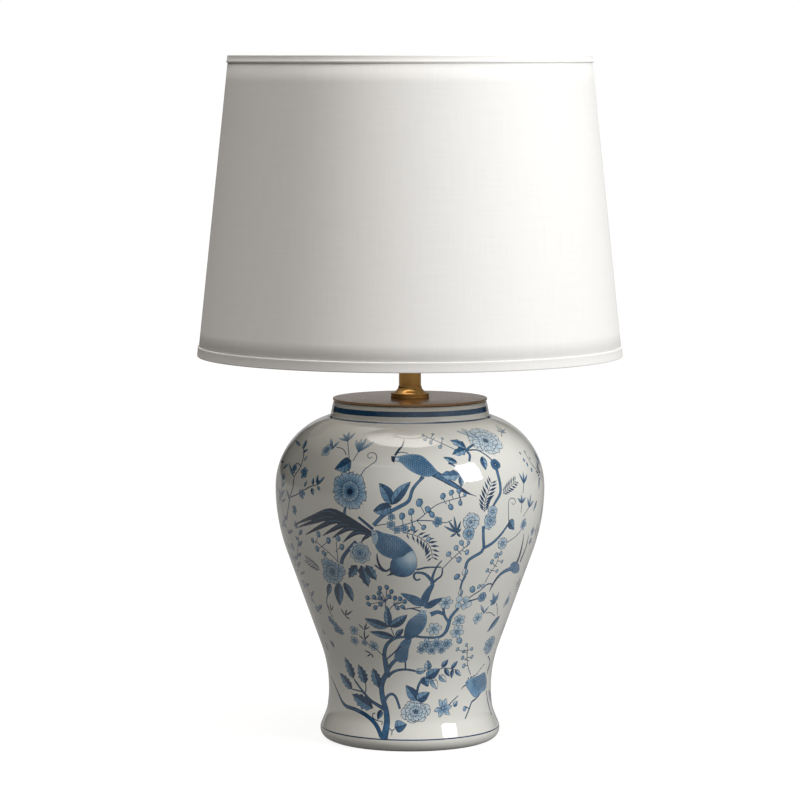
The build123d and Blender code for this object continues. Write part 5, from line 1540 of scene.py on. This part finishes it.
# --- Lampholder with its push-through switch ---
# A brass cap and skirt screwed round a moulded insert that holds the centre contact and the
# threaded shell. The bar slides through the cap and the insert to switch the lamp.

satin = plated("satin_brass", hue(172, 138, 84), hue(222, 186, 128), 0.3, 0.0004, 0.00001, 0.7)
dress(satin, "holder_cap", "holder_skirt", "switch_bar", "lower_shade_ring", "upper_shade_ring")
dress(zinc, "holder_grub_screw", "holder_screws")
dress(block_body, "holder_insert")
dress(tag_brass, "centre_contact", "screw_shell")

# --- Shade carrier ---
# A pressed plate clamped between the two shade rings carries three bent legs, welded to the ring
# that the shade rests on. Everything is brass plated after welding.

carrier_skin = plated("brass_plated_steel", hue(190, 158, 100), hue(228, 200, 150), 0.26, 0.0005, 0.000008,
    0.5)
dress(carrier_skin, "carrier_plate", "carrier_legs", "carrier_ring")

# --- Bulb ---
# A screw cap on a moulded body, with an opal globe that scatters the light.

dress(plated("nickel_plated_cap", hue(196, 194, 190), hue(225, 225, 222), 0.22), "bulb_cap", "bulb_contact")
dress(moulded("dark_insulator", hue(40, 38, 38), 0.3), "bulb_insulator")
dress(moulded("white_moulding", hue(232, 231, 226), 0.4), "bulb_collar")
opal, tree, shader = new_finish("opal_globe", Roughness=0.35, IOR=1.5, Subsurface_Weight=0.3,
    Subsurface_Scale=0.004)
milky = effect(tree, cloud, Size=30.0, Amount=0.05, Fine=2.0)["Value"]
tree.links.new(tinted(tree, hue(240, 240, 236), milky), shader.inputs["Base Color"])
dress(opal, "bulb_glass")

# --- Shade: cloth ---
# Linen-look cloth laminated to a stiff white liner, cut flat as part of a ring and lapped at the
# back, where a second layer shows as a narrow upright ridge.

weave, weave_in, weave_out = new_effect(
    "plain_weave", {"Place": None, "Pitch": 0.0005, "Slub": 1.0}, {"Height": "Float", "Tone": "Float"})
way = lay(weave, "SeparateXYZ", {"Vector": weave_in["Place"]}).outputs
threads = [lay(weave, "Math", {0: way[axis], 1: weave_in["Pitch"]},
    operation="DIVIDE").outputs[0] for axis in ("X", "Y")]
waves = []
for thread in threads:
    half = lay(weave, "Math", {0: thread, 1: math.pi}, operation="MULTIPLY").outputs[0]
    sine = lay(weave, "Math", {0: half}, operation="SINE").outputs[0]
    waves.append((sine, lay(weave, "Math", {0: sine}, operation="ABSOLUTE").outputs[0]))
over = lay(weave, "Math", {0: waves[0][0], 1: waves[1][0]}, operation="MULTIPLY").outputs[0]
over = lay(weave, "MapRange", {"Value": over, "From Min": -0.25, "From Max": 0.25}).outputs["Result"]
top = lay(weave, "Mix", {"Factor": over, "A": waves[0][1], "B": waves[1][1]}).outputs["Result"]
streaks = []
for stretch_x, stretch_y in ((1.0, 0.03), (0.03, 1.0)):
    spot = lay(weave, "VectorMath", {0: weave_in["Place"], 1: (stretch_x, stretch_y, 1.0)},
        operation="MULTIPLY")
    streaks.append(lay(weave, "TexNoise", {"Vector": spot.outputs["Vector"], "Scale": 700.0,
        "Detail": 3.0}).outputs["Fac"])
slubs = lay(weave, "Math", {0: streaks[0], 1: streaks[1]}, operation="ADD").outputs[0]
slubs = lay(weave, "MapRange", {"Value": slubs, "From Min": 0.7, "From Max": 1.3, "To Min": -0.5,
    "To Max": 0.5}).outputs["Result"]
slubs = lay(weave, "Math", {0: slubs, 1: weave_in["Slub"]}, operation="MULTIPLY").outputs[0]
weave.links.new(lay(weave, "Math", {0: top, 1: slubs}, operation="ADD").outputs[0], weave_out["Height"])
weave.links.new(slubs, weave_out["Tone"])


def woven(name, colour, pitch, slub, depth):
    """A matt cloth with its threads laid along the piece's flat cut."""
    material, tree, shader = new_finish(name, Roughness=0.9, Sheen_Weight=0.08, Specular_IOR_Level=0.25)
    flat = lay(tree, "UVMap", uv_map="laid_out").outputs["UV"]
    cloth = effect(tree, weave, Place=flat, Pitch=pitch, Slub=slub)
    deep = lay(tree, "MapRange", {"Value": cloth["Height"], "To Min": 0.9,
        "To Max": 1.04}).outputs["Result"]
    tone = tinted(tree, colour, deep)
    streak = lay(tree, "MapRange", {"Value": cloth["Tone"], "From Min": -0.5, "From Max": 0.5,
        "To Min": 0.965, "To Max": 1.035})
    tree.links.new(tinted(tree, tone, streak.outputs["Result"]), shader.inputs["Base Color"])
    bump = lay(tree, "Bump", {"Height": cloth["Height"], "Strength": 0.5, "Distance": depth})
    tree.links.new(bump.outputs["Normal"], shader.inputs["Normal"])
    return material


linen = woven("laminated_linen", hue(244, 243, 241), 0.0004, 0.2, 0.00005)
CLOTH, LINER, TRIM = 0.7, 0.5, 0.8
SHADE_FOOT, SHADE_TOP, FOOT_OUT, TOP_OUT = 345.0, 612.0, 190.0, 162.0
CLOTH_FOOT, CLOTH_TOP = SHADE_FOOT + TRIM, SHADE_TOP - TRIM
cloth_slope = (FOOT_OUT - TOP_OUT) / (CLOTH_TOP - CLOTH_FOOT)
taper = math.hypot(1.0, cloth_slope)
LAP_WIDTH, LAP_RISE = 11.0, 0.35


def cloth_r(z):
    """Radius of the cloth's outside at a height."""
    return TOP_OUT - TRIM + (CLOTH_TOP - z) * cloth_slope


def lap(a, r, z):
    """The second layer of cloth at the back seam."""
    off = abs(math.remainder(a - math.pi, math.tau)) * r
    return LAP_RISE * min(1.0, max(0.0, (LAP_WIDTH / 2 - off) / 0.8)) if r > cloth_r(z) - 0.1 else 0.0


levels = [CLOTH_FOOT + (CLOTH_TOP - CLOTH_FOOT) * i / 12 for i in range(13)]
cloth_outline = [(cloth_r(z), z) for z in levels] + [(cloth_r(z) - CLOTH, z) for z in levels[::-1]]
shade_cloth = spun("shade_cloth", cloth_outline, linen, "shade", 720, swell=lap)
for corner in shade_cloth.data.uv_layers["laid_out"].uv:
    u, v = corner.vector
    share = cloth_slope / taper
    run = (FOOT_OUT - TRIM) * MM / share - v
    turn = u / ((FOOT_OUT - TRIM) * MM) * share
    corner.vector = (run * math.sin(turn), run * math.cos(turn))
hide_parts("shade_fabric")

# --- Shade: liner and edge wires ---
# White styrene sheet under the cloth, and a coated steel wire ring rolled into each edge.

styrene = moulded("white_styrene", hue(240, 239, 234), 0.36, 0.00003, 1500.0)
liner_outline = [(cloth_r(z) - CLOTH, z) for z in levels]
liner_outline += [(cloth_r(z) - CLOTH - LINER, z) for z in levels[::-1]]
shade_lining = spun("shade_lining", liner_outline, styrene, "shade", 240)
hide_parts("shade_liner")
epoxy = moulded("white_epoxy_coating", hue(236, 234, 228), 0.35, 0.00002, 900.0)
dress(epoxy, "shade_top_wire", "shade_bottom_wire", "duplex_ring", "duplex_arms")

# --- Shade: edge tapes ---
# The same cloth, cut as tape and folded over each edge wire. Its free edge is turned under, which
# leaves a small raised roll all the way round.

tape = woven("folded_tape", hue(244, 243, 241), 0.0004, 0.2, 0.00005)
WIRE_INSET = CLOTH + LINER + 3.4
TOP_TAPE, FOOT_TAPE, INNER_TAPE = 6.5, 9.0, 9.0
top_edge, foot_edge = SHADE_TOP - TOP_TAPE, SHADE_FOOT + FOOT_TAPE
ROLL = 0.35


def tape_outline(fold_z, edge_z, inner_z, fold_out, wire_in):
    """A tape from its turned edge, round the fold and down the inside. Up is towards the fold."""
    up = 1 if fold_z > edge_z else -1
    out = cloth_r(edge_z)
    places = [
        (out + 0.02, edge_z), (out + TRIM + ROLL, edge_z, 0.5), (out + TRIM + ROLL, edge_z + 1.5 * up, 0.5),
        (cloth_r(edge_z + 2.2 * up) + TRIM, edge_z + 2.2 * up), (fold_out, fold_z - 1.2 * up), (fold_out,
            fold_z, 0.9),
        (wire_in - TRIM, fold_z, 0.9), (wire_in - TRIM, inner_z, 0.3), (wire_in, inner_z),
        (wire_in, fold_z - TRIM * up), (cloth_r(fold_z - TRIM * up), fold_z - TRIM * up),
    ]
    return places if up > 0 else places[::-1]


top_wire_in = cloth_r(CLOTH_TOP - 1.65) - CLOTH - LINER - 1.6 * (1 + cloth_slope) - 0.05 - 1.6 - 0.05
foot_wire_in = cloth_r(CLOTH_FOOT + 1.65) - CLOTH - LINER - 1.6 * (1 + cloth_slope) - 0.05 - 1.6 - 0.05
top_places = tape_outline(SHADE_TOP, top_edge, SHADE_TOP - INNER_TAPE, TOP_OUT, top_wire_in)
top_tape = spun("top_edge_tape", top_places, tape, "shade", 360)
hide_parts("shade_top_trim")
foot_places = tape_outline(SHADE_FOOT, foot_edge, SHADE_FOOT + INNER_TAPE, FOOT_OUT, foot_wire_in)
foot_tape = spun("bottom_edge_tape", foot_places, tape, "shade", 360)
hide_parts("shade_bottom_trim")

# --- Camera ---
# A long lens at about the height of the shade's top edge, turned a little down to the lamp.

camera_data = bpy.data.cameras.new("view")
camera_data.sensor_width = 36.0
camera_data.lens = 3679.0 / 800.0 * 36.0
camera_data.clip_end = 60.0
camera = bpy.data.objects.new("view", camera_data)
camera.location = (0.0, -3.2776, 0.6116)
camera.rotation_euler = (math.radians(90 - 5.349), 0.0, math.radians(0.156))
bpy.context.collection.objects.link(camera)
bpy.context.scene.camera = camera

# --- Room: pale floor, window light from the right and a dim room round it ---

room_floor, tree, shader = new_finish("pale_floor", Roughness=0.9, Specular_IOR_Level=0.1)
tree.links.new(tinted(tree, hue(112, 111, 109), effect(tree, cloud, Size=3.0, Amount=0.03,
    Fine=2.0)["Value"]),
               shader.inputs["Base Color"])
seen = lay(tree, "LightPath").outputs
mirrored = lay(tree, "Math", {0: seen["Is Glossy Ray"], 1: seen["Is Transmission Ray"]},
    operation="MAXIMUM").outputs[0]
mirrored = lay(tree, "Math", {0: mirrored, 1: 0.2}, operation="MULTIPLY").outputs[0]
seen_by = lay(tree, "Math", {0: seen["Is Camera Ray"], 1: mirrored}, operation="MAXIMUM").outputs[0]
glow = lay(tree, "Emission", {"Strength": 0.9})
dark = lay(tree, "Emission", {"Strength": 0.0})
lifted = lay(tree, "MixShader", {0: seen_by, 1: dark.outputs[0], 2: glow.outputs[0]})
both = lay(tree, "AddShader", {0: shader.outputs[0], 1: lifted.outputs[0]})
tree.links.new(both.outputs[0], tree.nodes["Material Output"].inputs["Surface"])
floor_mesh = bpy.data.meshes.new("floor")
floor_mesh.from_pydata([(-20, -6, 0), (20, -6, 0), (20, 40, 0), (-20, 40, 0)], [], [(0, 1, 2, 3)])
floor_mesh.materials.append(room_floor)
floor = bpy.data.objects.new("floor", floor_mesh)
bpy.context.collection.objects.link(floor)

world = bpy.data.worlds.new("room")
bpy.context.scene.world = world
world.use_nodes = True
tree = world.node_tree
seen = lay(tree, "LightPath").outputs
toward = lay(tree, "TexCoord").outputs["Generated"]
ahead = lay(tree, "VectorMath", {0: toward, 1: (0.0, 1.0, 0.0)}, operation="DOT_PRODUCT").outputs["Value"]
paper = lay(tree, "MapRange", {"Value": ahead, "From Min": 0.95, "From Max": 0.975}).outputs["Result"]
mirrored = lay(tree, "Math", {0: seen["Is Glossy Ray"], 1: seen["Is Transmission Ray"]},
    operation="MAXIMUM").outputs[0]
paper = lay(tree, "Math", {0: paper, 1: 0.4}, operation="MULTIPLY").outputs[0]
mirrored = lay(tree, "Math", {0: mirrored, 1: paper}, operation="MULTIPLY").outputs[0]
shine = lay(tree, "Math", {0: seen["Is Camera Ray"], 1: mirrored}, operation="MAXIMUM").outputs[0]
lit_side = lay(tree, "VectorMath", {0: toward, 1: (0.6, -0.65, 0.3)},
    operation="DOT_PRODUCT").outputs["Value"]
side = lay(tree, "MapRange", {"Value": lit_side, "From Min": -0.1, "From Max": 1.0, "To Min": 0.02,
    "To Max": 0.56})
above = lay(tree, "VectorMath", {0: toward, 1: (-0.2, -0.14, 0.97)},
    operation="DOT_PRODUCT").outputs["Value"]
skylight = lay(tree, "MapRange", {"Value": above, "From Min": 0.82, "From Max": 0.95, "To Min": 0.0,
    "To Max": 2.9})
level = lay(tree, "Math", {0: side.outputs["Result"], 1: skylight.outputs["Result"]},
    operation="ADD").outputs[0]
room_light = lay(tree, "Background", {"Color": (1.0, 0.96, 0.915, 1.0), "Strength": level})
white_back = lay(tree, "Background", {"Color": (1.0, 1.0, 1.0, 1.0), "Strength": 1.0})
whole = lay(tree, "MixShader", {0: shine, 1: room_light.outputs[0], 2: white_back.outputs[0]})
tree.links.new(whole.outputs[0], tree.nodes["World Output"].inputs["Surface"])


def window(name, place, aim, width, height, power, colour):
    """A flat soft lamp turned to face a point."""
    lamp = bpy.data.lights.new(name, "AREA")
    lamp.shape = "RECTANGLE"
    lamp.size, lamp.size_y = width, height
    lamp.energy, lamp.color = power, colour
    made = bpy.data.objects.new(name, lamp)
    made.location = place
    made.rotation_euler = (Vector(place) - Vector(aim)).to_track_quat("Z", "Y").to_euler()
    bpy.context.collection.objects.link(made)


window("window_right", (1.55, -1.02, 1.3), (0.0, 0.0, 0.3), 0.66, 0.86, 30.0, (0.97, 0.985, 1.0))

bpy.context.scene.view_settings.view_transform = "Standard"
